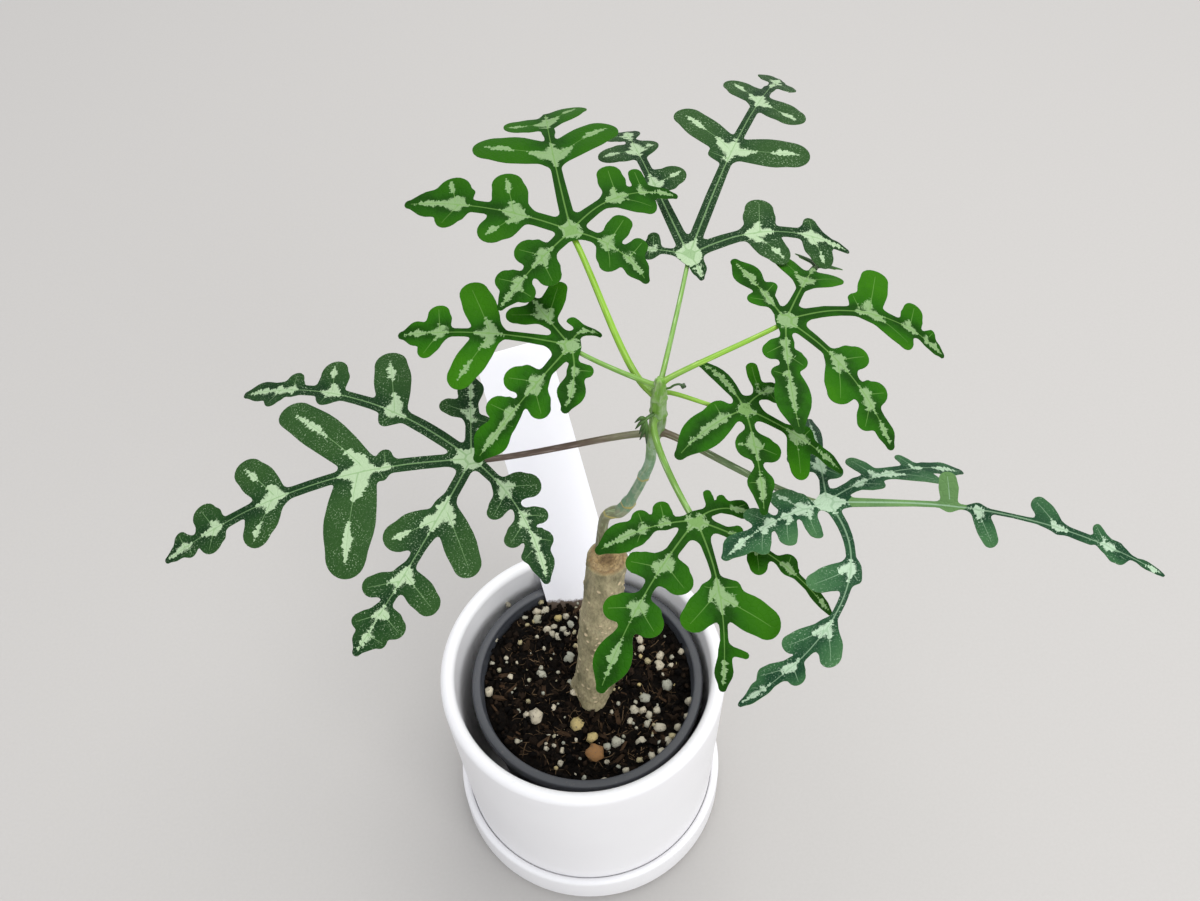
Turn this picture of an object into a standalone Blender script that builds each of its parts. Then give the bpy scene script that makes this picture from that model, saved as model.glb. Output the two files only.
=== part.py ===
"""Potted adenia: a grafted, cut-leaved caudex plant in a white cover pot on its saucer.

Lengths are in millimetres and are turned into metres when a mesh is made. The origin is the
middle of the saucer's underside, +Z is up and the front of the pot faces -Y.
"""

import math
import random
from collections import namedtuple

import bpy
import numpy as np
from mathutils import Vector
from mathutils.geometry import delaunay_2d_cdt

MM = 0.001
GAP = 0.3                    # clearance between pieces that touch
POT_SIDES = 56               # sides of the round pots

SAUCER_R = 50.9              # outer radius of the saucer's upright lip
SAUCER_H = 17.0
SAUCER_WALL = 2.8
SAUCER_FLOOR = 3.0
SAUCER_CORNER = 4.0

POT_H = 95.0                 # the cover pot's rim above the table
POT_RIM_R = 50.0
POT_FOOT_R = 47.6
POT_WALL = 5.0
POT_FLOOR = 5.0              # thickness of its bottom
POT_CORNER = 7.0
POT_DRAIN_R = 6.0

INNER_SHIFT = (1.3, 0.0)     # the grower's pot stands a little off centre
INNER_RIM_Z = 86.0
INNER_RIM_R = 41.0
INNER_WALL_R = 39.0          # outer radius just under the rim
INNER_FOOT_R = 31.0
INNER_WALL = 1.2
INNER_FLOOR = 1.5
INNER_DRAIN_R = 4.0

SOIL_Z = 81.8                # mean level of the potting mix
GRAINS = 44                  # perlite and pumice grains that stand out of the mix
GRAIN_SEED = 5

LABEL_W = 27.0
LABEL_T = 0.8
LABEL_ENTRY = (1.4, 32.3, 83.3)    # middle of the label where it leaves the mix
LABEL_HEAD = (-20.4, 96.6, 154.7)  # middle of its top edge
LABEL_BURIED = 34.0
LABEL_CORNER = 4.0

STUMP_FOOT = (1.4, -3.3, 62.0)     # middle of the rootstock's buried end
STUMP_TOP = (10.4, 0.5, 165.0)
STUMP_R = 6.3
STUMP_SIDES = 20

BLADE_T = 0.7                # thickness of a leaf blade
PETIOLE_TAPER = 0.8          # a petiole's radius at the blade, as a share of that at the stem

PALM_R = 3.3                 # round web where the five midribs meet
PALM_SHIFT = 2.5             # the web lies this far ahead of the petiole's end
WEB = 1.9                    # rounding of the bays between lobes
BLADE_FOLD = 0.08            # a blade rises this much for each millimetre from its midrib
BLADE_SAG = 0.004            # and sags again towards its edge
LOBE_BLEND = 1.2             # how fast one lobe's bend gives way to the next, in millimetres
FIELD_CELL = 0.9             # grid on which a blade's outline is found
OUTLINE_TOLERANCE = 0.32
BLADE_POINT_STEP = 8.0       # spacing of the points inside a blade

Lobe = namedtuple("Lobe", "heading length turn droop lift roll tip_roll neck wide end side")
Leaf = namedtuple("Leaf", "centre tilt toward petiole colour lobes")
Petiole = namedtuple("Petiole", "height side r arch dip")


def lobe(heading, length, side=(), turn=0, droop=0, lift=0, roll=0, tip_roll=0, neck=1.5, wide=4, end=6):
    """One of a leaf's five cut lobes.

    heading is the way its midrib leaves the palm and turn how far it curves by the tip, in
    degrees in the palm's plane. lift and droop bend it up and then down, roll and tip_roll twist
    it. neck is half the width between the side lobes; wide and end are half the width and half
    the length of the end lobe. Each side lobe is (station along the midrib, reach to the left or,
    if negative, to the right, lean towards the tip, half width).
    """
    return Lobe(heading, length, turn, droop, lift, roll, tip_roll, neck, wide, end, side)


# Where each palm stands and how it is tilted, where its petiole leaves the stem, and its five lobes
LEAVES = {
    "back_left": Leaf(
        centre=(5, 42.5, 262), tilt=8, toward=-90,
        petiole=Petiole(243.3, 150, 1.0, 1.0, 1.5), colour=("bright", "lime"),
        lobes=(
            lobe(100, 60.5, turn=-7, droop=36.5, lift=6, neck=1.5, wide=1.5, end=9,
                 side=((30, 21.5, 9.5, 6.5), (28.5, -18.5, 13.5, 6.5), (49.5, 12.5, -1, 5.5),
                       (50, -10.5, 14, 5.5))),
            lobe(150, 48.5, turn=21, droop=12, neck=2, wide=5, end=7,
                 side=((17, -12, 7, 5), (15.5, 10.5, 7.5, 5.5), (34, -8.5, 3.5, 6),
                       (33, 8, 3.5, 4.5))),
            lobe(-137, 29.5, turn=9, droop=14, neck=1.75, wide=2.5, end=3.5,
                 side=((10.5, -7.5, 3, 4.5), (11.5, 8, 4, 4), (20.5, -6, 2.5, 3.5), (22, 6, 0, 3.5))),
            lobe(56, 35.5, turn=-59, droop=25, lift=6, neck=1.75, wide=2, end=4.5,
                 side=((17.5, 11, 2, 3.5), (16, -6, 11.5, 4.5), (25, 8.5, 0, 2))),
            lobe(-15, 26, turn=-50, droop=10, neck=1.5, wide=3.5, end=5,
                 side=((10.5, 10, -0.5, 3), (10, -6.5, 7, 4), (17.5, 7, -1, 2.5))),
        )),
    "back": Leaf(
        centre=(36.5, 41.5, 252), tilt=8, toward=-100,
        petiole=Petiole(247.4, 74, 0.75, 1.5, 1.0), colour=("dark", "pale"),
        lobes=(
            lobe(68.5, 96, turn=-2, droop=36, lift=8, neck=1.5, wide=1.5, end=6.5,
                 side=((40.5, 20, 13.5, 5.5), (37, 6, 0.5, 2.5), (41, -21.5, 5, 6.5),
                       (71, 12, 10.5, 6), (71, -15, -8, 6), (94.5, 6, 5, 4), (93.5, -7, -9.5, 3))),
            lobe(108, 65, turn=-9, droop=34, lift=6, neck=1.5, wide=1.5, end=6,
                 side=((28, -9.5, 2.5, 5.5), (28.5, 7, -2, 3.5), (47.5, 11.5, 0, 6), (48, -6.5, 0, 6.5),
                       (60, 7.5, 1, 4.5), (60.5, -3, 1, 3.5))),
            lobe(28.5, 50, turn=-41, droop=36.5, lift=8, neck=1.75, wide=1.5, end=5,
                 side=((21.5, 11, 2.5, 4.5), (19.5, -11, 7, 5), (37.5, 6, -1, 2.5), (37, -9.5, 4.5, 5.5))),
            lobe(159, 14, turn=8, droop=8, neck=1, wide=2, end=2,
                 side=((10, -5.5, 1, 2), (11, 3.5, -0.5, 2.5))),
            lobe(-52, 8, turn=-29, droop=35, neck=1.75, wide=2, end=2.5),
        )),
    "left": Leaf(
        centre=(3.5, 14.5, 248), tilt=8, toward=-100,
        petiole=Petiole(247.2, 160, 0.75, 1.0, 1.0), colour=("bright", "pale"),
        lobes=(
            lobe(160, 47.5, turn=17, droop=10, neck=1.25, wide=4, end=4.5,
                 side=((22, -15.5, 8.5, 4.5), (22, 17.5, 7, 5), (36, -8.5, 1.5, 3.5),
                       (36, 7.5, 4.5, 3))),
            lobe(124, 20.5, turn=-7, droop=10, neck=1.5, wide=2.5, end=3.5,
                 side=((11, -9, 9.5, 3.5), (13, 8.5, 5.5, 3.5))),
            lobe(83, 12, turn=-106, droop=40, neck=1, wide=1.5, end=4.5,
                 side=((6.5, 5.5, -1, 1),)),
            lobe(-132, 39.5, turn=4, droop=12, neck=1.5, wide=5, end=6.5,
                 side=((13.5, -8, 4, 4.5), (15, 7.5, 6, 3.5), (24.5, -7, 1, 4), (28, 3, -1, 2.5))),
            lobe(-77, 19.5, turn=-41, droop=10, neck=1.25, wide=4, end=5.5,
                 side=((7.5, 5, 0.5, 2),)),
        )),
    "right_back": Leaf(
        centre=(60, 18, 250), tilt=6, toward=-40,
        petiole=Petiole(248.6, 27, 0.8, 1.5, 1.0), colour=("bright", "lime"),
        lobes=(
            lobe(116, 25, turn=3, droop=8, neck=1.25, wide=4, end=6.5,
                 side=((7.5, 5, 3.5, 2.5), (10, -4.5, 2, 2))),
            lobe(64, 32.5, turn=-3, droop=40, lift=8, neck=1.25, wide=1, end=6.5,
                 side=((16, 11.5, 8.5, 3.5), (16, -8, 9.5, 4), (32.5, 7, 4, 4), (33, -4.5, 8.5, 4))),
            lobe(21.5, 50, turn=-50, droop=38, lift=8, neck=1.5, wide=2, end=3.5,
                 side=((24, 15.5, 3, 4), (21.5, 6, -1.5, 2), (24.5, -6, 13.5, 4),
                       (36.5, 8.5, 0.5, 3.5), (42.5, 4, 1.5, 1.5))),
            lobe(-38.5, 45, turn=-38, droop=14, neck=1.25, wide=2.5, end=4.5,
                 side=((17.5, 7.5, 3.5, 4), (17.5, -7.5, 11, 4.5), (29, 5.5, 2, 4), (31.5, -5, 6.5, 3))),
            lobe(-97, 34, turn=14, droop=6, neck=1.25, wide=5, end=10,
                 side=((7.5, -6, 4, 3), (11, 4.5, 4, 3), (17.5, -4.5, -1.5, 2))),
        )),
    "right": Leaf(
        centre=(48, -1.5, 238), tilt=6, toward=-60,
        petiole=Petiole(243.0, 45, 0.65, -2.0, 1.5), colour=("bright", "lime"),
        lobes=(
            lobe(109, 23.5, turn=18, droop=30, neck=1, wide=2.25, end=11),
            lobe(58, 15.5, turn=-45, droop=25, neck=1.25, wide=2.5, end=4,
                 side=((7.5, 9.5, 3, 1.5), (9.5, -4.5, 0, 2))),
            lobe(-159, 23, turn=30, droop=6, neck=1.5, wide=5.5, end=12.5,
                 side=((6.5, -5.5, -0.5, 3.5),)),
            lobe(-80, 29.5, turn=-10, droop=16, neck=1, wide=2.5, end=5.5,
                 side=((10.5, -4.5, -0.5, 5), (11, 6, 3.5, 3.5), (21, -3.5, 0, 3.5), (21, 3, 1, 2.5))),
            lobe(-26, 31, turn=-7, droop=35, neck=1.25, wide=2, end=5.5,
                 side=((14.5, -10.5, 7, 3.5), (16.5, 4, 1, 2.5))),
        )),
    "far_left": Leaf(
        centre=(-25, -1.5, 222), tilt=6, toward=-120,
        petiole=Petiole(226.4, 184, 1.0, 2.0, 1.0), colour=("dark", "brown"),
        lobes=(
            lobe(-182, 91, turn=27, droop=22, lift=6, neck=1.75, wide=2.5, end=4,
                 side=((23.5, -5.5, 0, 2.5), (25.5, 4, -1.5, 1.5), (28.5, -28, 20, 5.5),
                       (31, 30, 7.5, 8), (54.5, -15, 8, 5), (56, 11.5, 8.5, 5.5),
                       (74, -8.5, 2.5, 4.5), (74, 6, 4, 4.5), (84, -5, 0.5, 2.5), (83, 4, -0.5, 2))),
            lobe(136, 83.5, turn=33, droop=26, lift=6, neck=1.75, wide=3.5, end=7.5,
                 side=((28, -17, 12.5, 5.5), (28, 5, 1.5, 3), (50, -10.5, 4.5, 5), (51, 4.5, 1, 3.5),
                       (64.5, -6, 1, 3.5), (69, 5.5, 3, 3.5))),
            lobe(92, 29, turn=-1, droop=8, neck=1.5, wide=4, end=5.5,
                 side=((15.5, 8.5, 4, 3), (13.5, -6, -3, 2))),
            lobe(-116, 60.5, turn=-10, droop=14, neck=1.5, wide=3.5, end=4,
                 side=((19.5, -9.5, 12, 5.5), (15.5, 16.5, 14, 4.5), (38.5, -8, 6.5, 3.5), (36.5, 13, 5, 4),
                       (48.5, -5.5, 5.5, 2.5), (48, 8.5, 2.5, 3.5), (54.5, 6, 0, 2))),
            lobe(-42, 42, turn=-40, droop=14, neck=1.25, wide=3.5, end=5.5,
                 side=((12.5, 8.5, 5.5, 4), (14, -7.5, 5, 3), (22.5, 6, 3, 2.5), (24, -7, 5, 3),
                       (29.5, 4.5, 2.5, 3), (31.5, -4.5, 3, 2))),
        )),
    "front": Leaf(
        centre=(33.5, -27.5, 226), tilt=4, toward=-60,
        petiole=Petiole(235.3, -122, 1.0, 0.5, 1.8), colour=("bright", "pale"),
        lobes=(
            lobe(-181, 27, turn=32, droop=10, neck=1.25, wide=4.5, end=7,
                 side=((8, -6.5, 0, 2.5), (13.5, -5.5, 0, 2.5), (14, 3.5, 3, 2.5))),
            lobe(-130, 50.5, turn=16, droop=20, neck=1.5, wide=5, end=8,
                 side=((16, -8.5, 3, 3.5), (14.5, 9, 4, 4.5), (28, -7.5, 4, 4), (27.5, 7.5, 5, 4.5))),
            lobe(-72, 45, turn=-27, droop=30, lift=8, neck=1, wide=2.5, end=4.5,
                 side=((20, -4, -1.5, 1.5), (20, -9.5, 9.5, 4.5), (22, 13.5, 9, 4.5),
                       (19.5, 5.5, 0.5, 2), (34.5, 6, 2, 1))),
            lobe(46, 17.5, turn=-70, droop=30, neck=1.25, wide=2.5, end=3.5,
                 side=((5.5, 6, 1, 1), (9, 4, 0, 1), (11.5, 2.5, 3.5, 1.5))),
            lobe(-22, 42.5, turn=-26, droop=32, lift=6, neck=1, wide=1.5, end=3.5,
                 side=((16.5, -6.5, 4.5, 3), (26, 3.5, -1, 3), (10, 3, 1, 1.5))),
        )),
    "far_right": Leaf(
        centre=(68, -22.5, 224), tilt=12, toward=90,
        petiole=Petiole(227.5, -20, 1.05, 0.0, 1.0), colour=("blue", "olive"),
        lobes=(
            lobe(-162, 35.5, turn=33, lift=6, neck=1.25, wide=4, end=6,
                 side=((7, -8.5, 3.5, 5), (6, 11, 4.5, 2.5), (12, 9, 8, 3), (17.5, -7, 2.5, 3),
                       (20, 6.5, 8, 2.5))),
            lobe(87, 44.5, droop=22, neck=1, wide=2.5, end=12.5,
                 side=((15.5, 8, 5, 5.5), (14.5, -5, -4, 3.5))),
            lobe(40, 51, turn=-24, droop=30, neck=1.75, wide=3, end=7,
                 side=((19, 9, -3, 2.5), (12, -4, 6, 3), (21.5, -6, 16.5, 3), (33, 6, -2.5, 2))),
            lobe(-3, 93, turn=-11, droop=32, lift=8, roll=66, tip_roll=25, neck=0.6, wide=1, end=3.5,
                 side=((31.5, 9, -2, 2.5), (38.5, -9, 6.5, 2.5), (60.5, 5.5, -8.5, 2.5),
                       (61.5, -0.5, 9, 1), (74.5, 4, -5, 1.5), (74.5, -1.5, 6.5, 3))),
            lobe(-66, 70.5, turn=-112, droop=40, lift=10, neck=1, wide=2, end=4,
                 side=((23.5, -9, 9, 4), (24, 2.5, 3.5, 1.5), (41.5, -5.5, 11, 3), (41.5, 7, 7, 3),
                       (54, -4, 9, 2.5), (54, 5, 1.5, 2.5), (62.5, -2.5, 3.5, 1.5))),
        )),
}

BLADE_COLOURS = {"bright": (0.035, 0.17, 0.012), "dark": (0.02, 0.075, 0.022), "blue": (0.02, 0.085, 0.045)}
PETIOLE_COLOURS = {"lime": (0.30, 0.50, 0.06), "pale": (0.27, 0.50, 0.17), "brown": (0.12, 0.085, 0.07),
                   "olive": (0.16, 0.19, 0.10)}


# Meshes and materials

def material(name, colour, roughness, metallic=0.0):
    mat = bpy.data.materials.new(name)
    mat.use_nodes = True
    shader = mat.node_tree.nodes["Principled BSDF"]
    shader.inputs["Base Color"].default_value = (*colour, 1.0)
    shader.inputs["Roughness"].default_value = roughness
    shader.inputs["Metallic"].default_value = metallic
    mat.diffuse_color = (*colour, 1.0)
    return mat


def add_object(name, points, faces, mat, smooth_angle=40):
    mesh = bpy.data.meshes.new(name)
    mesh.from_pydata([tuple(float(c) * MM for c in p) for p in points], [], faces)
    mesh.materials.append(mat)
    mesh.shade_smooth()
    mesh.set_sharp_from_angle(angle=math.radians(smooth_angle))
    obj = bpy.data.objects.new(name, mesh)
    bpy.context.scene.collection.objects.link(obj)
    return obj


def arc(cx, cz, r, start, stop, steps=5):
    """Points on an arc, angles in degrees, from a profile's outer side upwards."""
    angles = [math.radians(start + (stop - start) * i / steps) for i in range(steps + 1)]
    return [(cx + r * math.cos(a), cz + r * math.sin(a)) for a in angles]


def turned(name, profile, mat, centre=(0.0, 0.0), sides=POT_SIDES):
    """Turns a profile of (radius, height) about +Z, counter-clockwise with the axis on its left.

    A profile that starts and ends on the axis is closed by its two poles, any other is a ring.
    """
    solid = profile[0][0] == 0
    ring = profile[1:-1] if solid else profile
    points = []
    for i in range(sides):
        a = 2 * math.pi * i / sides
        points += [(centre[0] + r * math.cos(a), centre[1] + r * math.sin(a), z) for r, z in ring]
    n = len(ring)
    faces = []
    for i in range(sides):
        j = (i + 1) % sides
        for k in range(n - 1 if solid else n):
            m = (k + 1) % n
            faces.append((i * n + k, j * n + k, j * n + m, i * n + m))
    if solid:
        low, high = len(points), len(points) + 1
        points += [(*centre, profile[0][1]), (*centre, profile[-1][1])]
        for i in range(sides):
            j = (i + 1) % sides
            faces.append((low, j * n, i * n))
            faces.append((high, i * n + n - 1, j * n + n - 1))
    return add_object(name, points, faces, mat)


def smooth_path(points, steps):
    """A Catmull-Rom curve through the points, with some steps from each to the next."""
    p = [np.array(q, float) for q in points]
    p = [2 * p[0] - p[1]] + p + [2 * p[-1] - p[-2]]
    out = []
    for i in range(1, len(p) - 2):
        for k in range(steps):
            t = k / steps
            out.append(0.5 * (2 * p[i] + (p[i + 1] - p[i - 1]) * t
                              + (2 * p[i - 1] - 5 * p[i] + 4 * p[i + 1] - p[i + 2]) * t ** 2
                              + (3 * p[i] - p[i - 1] - 3 * p[i + 1] + p[i + 2]) * t ** 3))
    out.append(p[-2])
    return out


def swept(path, radii, sides):
    """Points and faces of a closed round bar along a path, with a radius at each of its points."""
    path = [np.array(p, float) for p in path]
    tangents = [path[min(i + 1, len(path) - 1)] - path[max(i - 1, 0)] for i in range(len(path))]
    tangents = [t / np.linalg.norm(t) for t in tangents]
    side = np.cross(tangents[0], (0.3, 0.9, 0.1))
    points = []
    for p, t, r in zip(path, tangents, radii):
        side = side - t * (side @ t)
        side /= np.linalg.norm(side)
        other = np.cross(t, side)
        for k in range(sides):
            a = 2 * math.pi * k / sides
            points.append(p + r * (math.cos(a) * side + math.sin(a) * other))
    faces = []
    for i in range(len(path) - 1):
        for k in range(sides):
            a, b = i * sides + k, i * sides + (k + 1) % sides
            faces.append((a, b, b + sides, a + sides))
    foot, head = len(points), len(points) + 1
    points += [path[0], path[-1]]
    last = (len(path) - 1) * sides
    for k in range(sides):
        m = (k + 1) % sides
        faces.append((foot, m, k))
        faces.append((head, last + k, last + m))
    return points, faces


def cut(obj, cutters, operation="DIFFERENCE"):
    """Cuts obj by the cutters, or joins them to it, and removes them."""
    group = bpy.data.collections.new("tools")
    bpy.context.scene.collection.children.link(group)
    for c in cutters:
        bpy.context.scene.collection.objects.unlink(c)
        group.objects.link(c)
        c.hide_render = True
        c.display_type = "WIRE"
    mod = obj.modifiers.new("cut", "BOOLEAN")
    mod.operation = operation
    mod.operand_type = "COLLECTION"
    mod.collection = group
    mod.solver = "EXACT"
    bpy.context.view_layer.objects.active = obj
    bpy.context.view_layer.update()
    with bpy.context.temp_override(object=obj, active_object=obj, selected_objects=[obj]):
        bpy.ops.object.modifier_apply(modifier="cut")
    for c in cutters:
        bpy.data.objects.remove(c)
    bpy.data.collections.remove(group)
    return obj


# Pots

def saucer(mat):
    inner = SAUCER_R - SAUCER_WALL
    lip = SAUCER_WALL / 2
    bend = SAUCER_CORNER - 1.5
    profile = [(0, 0)]
    profile += arc(SAUCER_R - SAUCER_CORNER, SAUCER_CORNER, SAUCER_CORNER, -90, 0, 4)
    profile += arc(SAUCER_R - lip, SAUCER_H - lip, lip, 0, 180, 4)
    profile += arc(inner - bend, SAUCER_FLOOR + bend, bend, 0, -90, 3)
    profile += [(0, SAUCER_FLOOR)]
    return turned("saucer", profile, mat)


def cover_pot(mat):
    foot = SAUCER_FLOOR + GAP
    floor = foot + POT_FLOOR
    lip = POT_WALL / 2
    inner_foot = POT_FOOT_R - POT_WALL - 1.5
    profile = [(POT_DRAIN_R, foot)]
    profile += arc(POT_FOOT_R - POT_CORNER, foot + POT_CORNER, POT_CORNER, -90, 0, 4)
    profile += arc(POT_RIM_R - lip, POT_H - lip, lip, 0, 180, 6)
    profile += arc(inner_foot - POT_CORNER, floor + POT_CORNER, POT_CORNER, 0, -90, 3)
    profile += [(POT_DRAIN_R, floor)]
    return turned("cover_pot", profile, mat)


def inner_floor_z():
    """Top of the grower's pot's floor."""
    return SAUCER_FLOOR + GAP + POT_FLOOR + GAP + INNER_FLOOR


def inner_wall_r(z):
    """Inner radius of the grower's pot at a height."""
    low = inner_floor_z()
    f = (z - low) / (INNER_RIM_Z - low)
    return INNER_FOOT_R + f * (INNER_WALL_R - INNER_FOOT_R) - INNER_WALL


def grower_pot(mat):
    foot = inner_floor_z() - INNER_FLOOR
    band = INNER_RIM_Z - 4.5
    top = INNER_RIM_Z
    profile = [(INNER_DRAIN_R, foot), (INNER_FOOT_R - 1, foot), (INNER_FOOT_R, foot + 1)]
    profile += [(INNER_WALL_R, band), (INNER_RIM_R - 0.4, band), (INNER_RIM_R, band + 0.5)]
    profile += arc(INNER_RIM_R - 0.9, top - 0.9, 0.9, 0, 90, 3)
    profile += [(inner_wall_r(top) + 0.8, top), (inner_wall_r(top), top - 0.8)]
    profile += [(inner_wall_r(foot + INNER_FLOOR), foot + INNER_FLOOR), (INNER_DRAIN_R, foot + INNER_FLOOR)]
    return turned("grower_pot", profile, mat, INNER_SHIFT)


# Potting mix

def mix_level(x, y):
    """The mix rises a little to the back, where the label is pushed in, and around the rootstock."""
    mound = math.exp(-(math.dist((x, y), stump_axis(SOIL_Z)[:2]) / 10) ** 2)
    return SOIL_Z + 0.7 * math.sin(x / 8 + 1) * math.cos(y / 7) + 1.2 * y / 37 + 0.8 * mound


def grain_places():
    """(x, y, radius) of each grain, clear of the rim, the rootstock, the label and each other."""
    rng = random.Random(GRAIN_SEED)
    stump = stump_axis(SOIL_Z)
    grains = []
    while len(grains) < GRAINS:
        a, d = rng.uniform(0, 2 * math.pi), 34 * math.sqrt(rng.random())
        x, y, r = d * math.cos(a) + INNER_SHIFT[0], d * math.sin(a), rng.uniform(1.2, 2.7)
        near_stump = math.dist((x, y), stump[:2]) < STUMP_R + r + 3.4
        near_label = abs(x - LABEL_ENTRY[0]) < LABEL_W / 2 + r + 1 and abs(y - LABEL_ENTRY[1]) < r + 3
        near_grain = any(math.dist((x, y), g[:2]) < (r + g[2]) * 1.15 for g in grains)
        if d < 34 - r and not (near_stump or near_label or near_grain):
            grains.append((x, y, r))
    return grains


def potting_mix(mat):
    rim = 48
    top_r = inner_wall_r(SOIL_Z) - GAP
    foot_z = inner_floor_z() + GAP
    foot_r = inner_wall_r(foot_z) - GAP
    grains = grain_places()

    def rim_point(i, r):
        a = 2 * math.pi * i / rim
        return (INNER_SHIFT[0] + r * math.cos(a), INNER_SHIFT[1] + r * math.sin(a))

    flat = [rim_point(i, top_r) for i in range(rim)]
    height = [mix_level(*p) for p in flat]
    for x, y, r in grains:
        flat.append((x, y))
        height.append(mix_level(x, y) + 0.75 * r)
        for reach, rise in ((0.7, 0.55), (1.05, 0.0)):
            for k in range(6):
                a = math.pi * (k / 3 + reach)
                q = (x + reach * r * math.cos(a), y + reach * r * math.sin(a))
                flat.append(q)
                height.append(mix_level(*q) + rise * r)
    stump = stump_axis(SOIL_Z)
    for k in range(16):
        a = math.pi * k / 8
        reach = STUMP_R + 2.2
        flat.append((stump[0] + reach * math.cos(a), stump[1] + reach * math.sin(a)))
        height.append(mix_level(*flat[-1]))
    step = 4.6
    for i in range(-10, 11):
        for j in range(-10, 11):
            q = (INNER_SHIFT[0] + (i + 0.5 * (j % 2)) * step, j * step * 0.87)
            inside = math.dist(q, INNER_SHIFT) < top_r - 2.5
            clear = math.dist(q, stump[:2]) > STUMP_R + 4
            if inside and clear and all(math.dist(q, g[:2]) > g[2] * 1.05 + 1.2 for g in grains):
                flat.append(q)
                height.append(mix_level(*q))
    edges = [(i, (i + 1) % rim) for i in range(rim)]
    faces = delaunay_2d_cdt([Vector(p) for p in flat], edges, [], 1, 1e-6)[2]
    points = [(*p, h) for p, h in zip(flat, height)]
    base = len(points)
    points += [(*rim_point(i, foot_r), foot_z) for i in range(rim)]
    points.append((*INNER_SHIFT, foot_z))
    faces = [tuple(f) for f in faces]
    for i in range(rim):
        j = (i + 1) % rim
        faces.append((i, base + i, base + j, j))
        faces.append((base + rim, base + j, base + i))
    mix = add_object("potting_mix", points, faces, mat)
    foot = np.array(STUMP_FOOT)
    hole = [foot - stump_lean() * 1.2, foot + stump_lean() * 40]
    hole_obj = add_object("stump_hole", *swept(hole, [STUMP_R + 0.45] * 2, STUMP_SIDES), mat)
    slot_obj = add_object("label_slot", *label_solid(GAP, LABEL_BURIED + GAP, 20.0), mat)
    return cut(mix, [hole_obj, slot_obj])


# Label

def label_frame():
    entry, head = np.array(LABEL_ENTRY), np.array(LABEL_HEAD)
    up = (head - entry) / np.linalg.norm(head - entry)
    across = np.array((1.0, 0.0, 0.0)) - up * up[0]
    across /= np.linalg.norm(across)
    return entry, up, across, np.cross(across, up)


def label_solid(margin, below, above):
    """A straight, square-ended bar with the label's section, grown all round by a margin."""
    entry, up, across, out = label_frame()
    points = []
    for along in (-below, above):
        for w, t in ((-1, 1), (1, 1), (1, -1), (-1, -1)):
            half_w, half_t = LABEL_W / 2 + margin, LABEL_T / 2 + margin
            points.append(entry + up * along + across * w * half_w + out * t * half_t)
    faces = [(0, 3, 2, 1), (4, 5, 6, 7), (0, 1, 5, 4), (1, 2, 6, 5), (2, 3, 7, 6), (3, 0, 4, 7)]
    return points, faces


def plant_label(mat):
    entry, up, across, out = label_frame()
    length = np.linalg.norm(np.array(LABEL_HEAD) - entry)
    w, r = LABEL_W / 2, LABEL_CORNER
    outline = [(-4, -LABEL_BURIED), (4, -LABEL_BURIED), (w, -LABEL_BURIED + 14)]
    outline += arc(w - r, length - r, r, 0, 90, 4)
    outline += arc(-w + r, length - r, r, 90, 180, 4)
    outline += [(-w, -LABEL_BURIED + 14)]
    n = len(outline)
    points = [entry + across * a + up * b + out * side * LABEL_T / 2 for side in (-1, 1) for a, b in outline]
    faces = [tuple(range(n))[::-1], tuple(range(n, 2 * n))]
    faces += [(i, (i + 1) % n, n + (i + 1) % n, n + i) for i in range(n)]
    return add_object("plant_label", points, faces, mat)


# Rootstock and scion

def stump_lean():
    v = np.array(STUMP_TOP) - np.array(STUMP_FOOT)
    return v / np.linalg.norm(v)


def stump_axis(z):
    """Middle of the rootstock at a height."""
    foot, top = np.array(STUMP_FOOT), np.array(STUMP_TOP)
    return foot + (top - foot) * (z - foot[2]) / (top[2] - foot[2])


def stump_girth(z, a):
    """Radius of the bark at a height and an angle, with shallow knots above the mix."""
    above = min(1.0, max(0.0, (z - SOIL_Z - 4) / 6))
    swell = 0.35 * math.sin(z / 9 + 2 * math.sin(a)) + 0.22 * math.sin(z / 3.1 + 3 * a)
    return STUMP_R + above * (swell + 0.25 * (z - SOIL_Z) / 80)


def rootstock(mat):
    rings = 18
    points = []
    top_z = STUMP_TOP[2]
    for i in range(rings):
        z = STUMP_FOOT[2] + (top_z - 0.8 - STUMP_FOOT[2]) * i / (rings - 1)
        middle = stump_axis(z)
        for k in range(STUMP_SIDES):
            a = 2 * math.pi * k / STUMP_SIDES
            r = stump_girth(z, a)
            points.append(middle + np.array((r * math.cos(a), r * math.sin(a), 0.0)))
    for inset, rise in ((0.9, 0.8), (2.0, 0.3), (4.2, -0.2)):
        middle = stump_axis(top_z - 0.8)
        for k in range(STUMP_SIDES):
            a = 2 * math.pi * k / STUMP_SIDES
            r = stump_girth(top_z, a) - inset
            points.append(middle + np.array((r * math.cos(a), r * math.sin(a), rise)))
    faces = []
    for i in range(rings + 2):
        for k in range(STUMP_SIDES):
            a, b = i * STUMP_SIDES + k, i * STUMP_SIDES + (k + 1) % STUMP_SIDES
            faces.append((a, b, b + STUMP_SIDES, a + STUMP_SIDES))
    last = (rings + 2) * STUMP_SIDES
    faces.append(tuple(range(STUMP_SIDES))[::-1])
    faces.append(tuple(range(last, last + STUMP_SIDES)))
    return add_object("rootstock", points, faces, mat)


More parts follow.
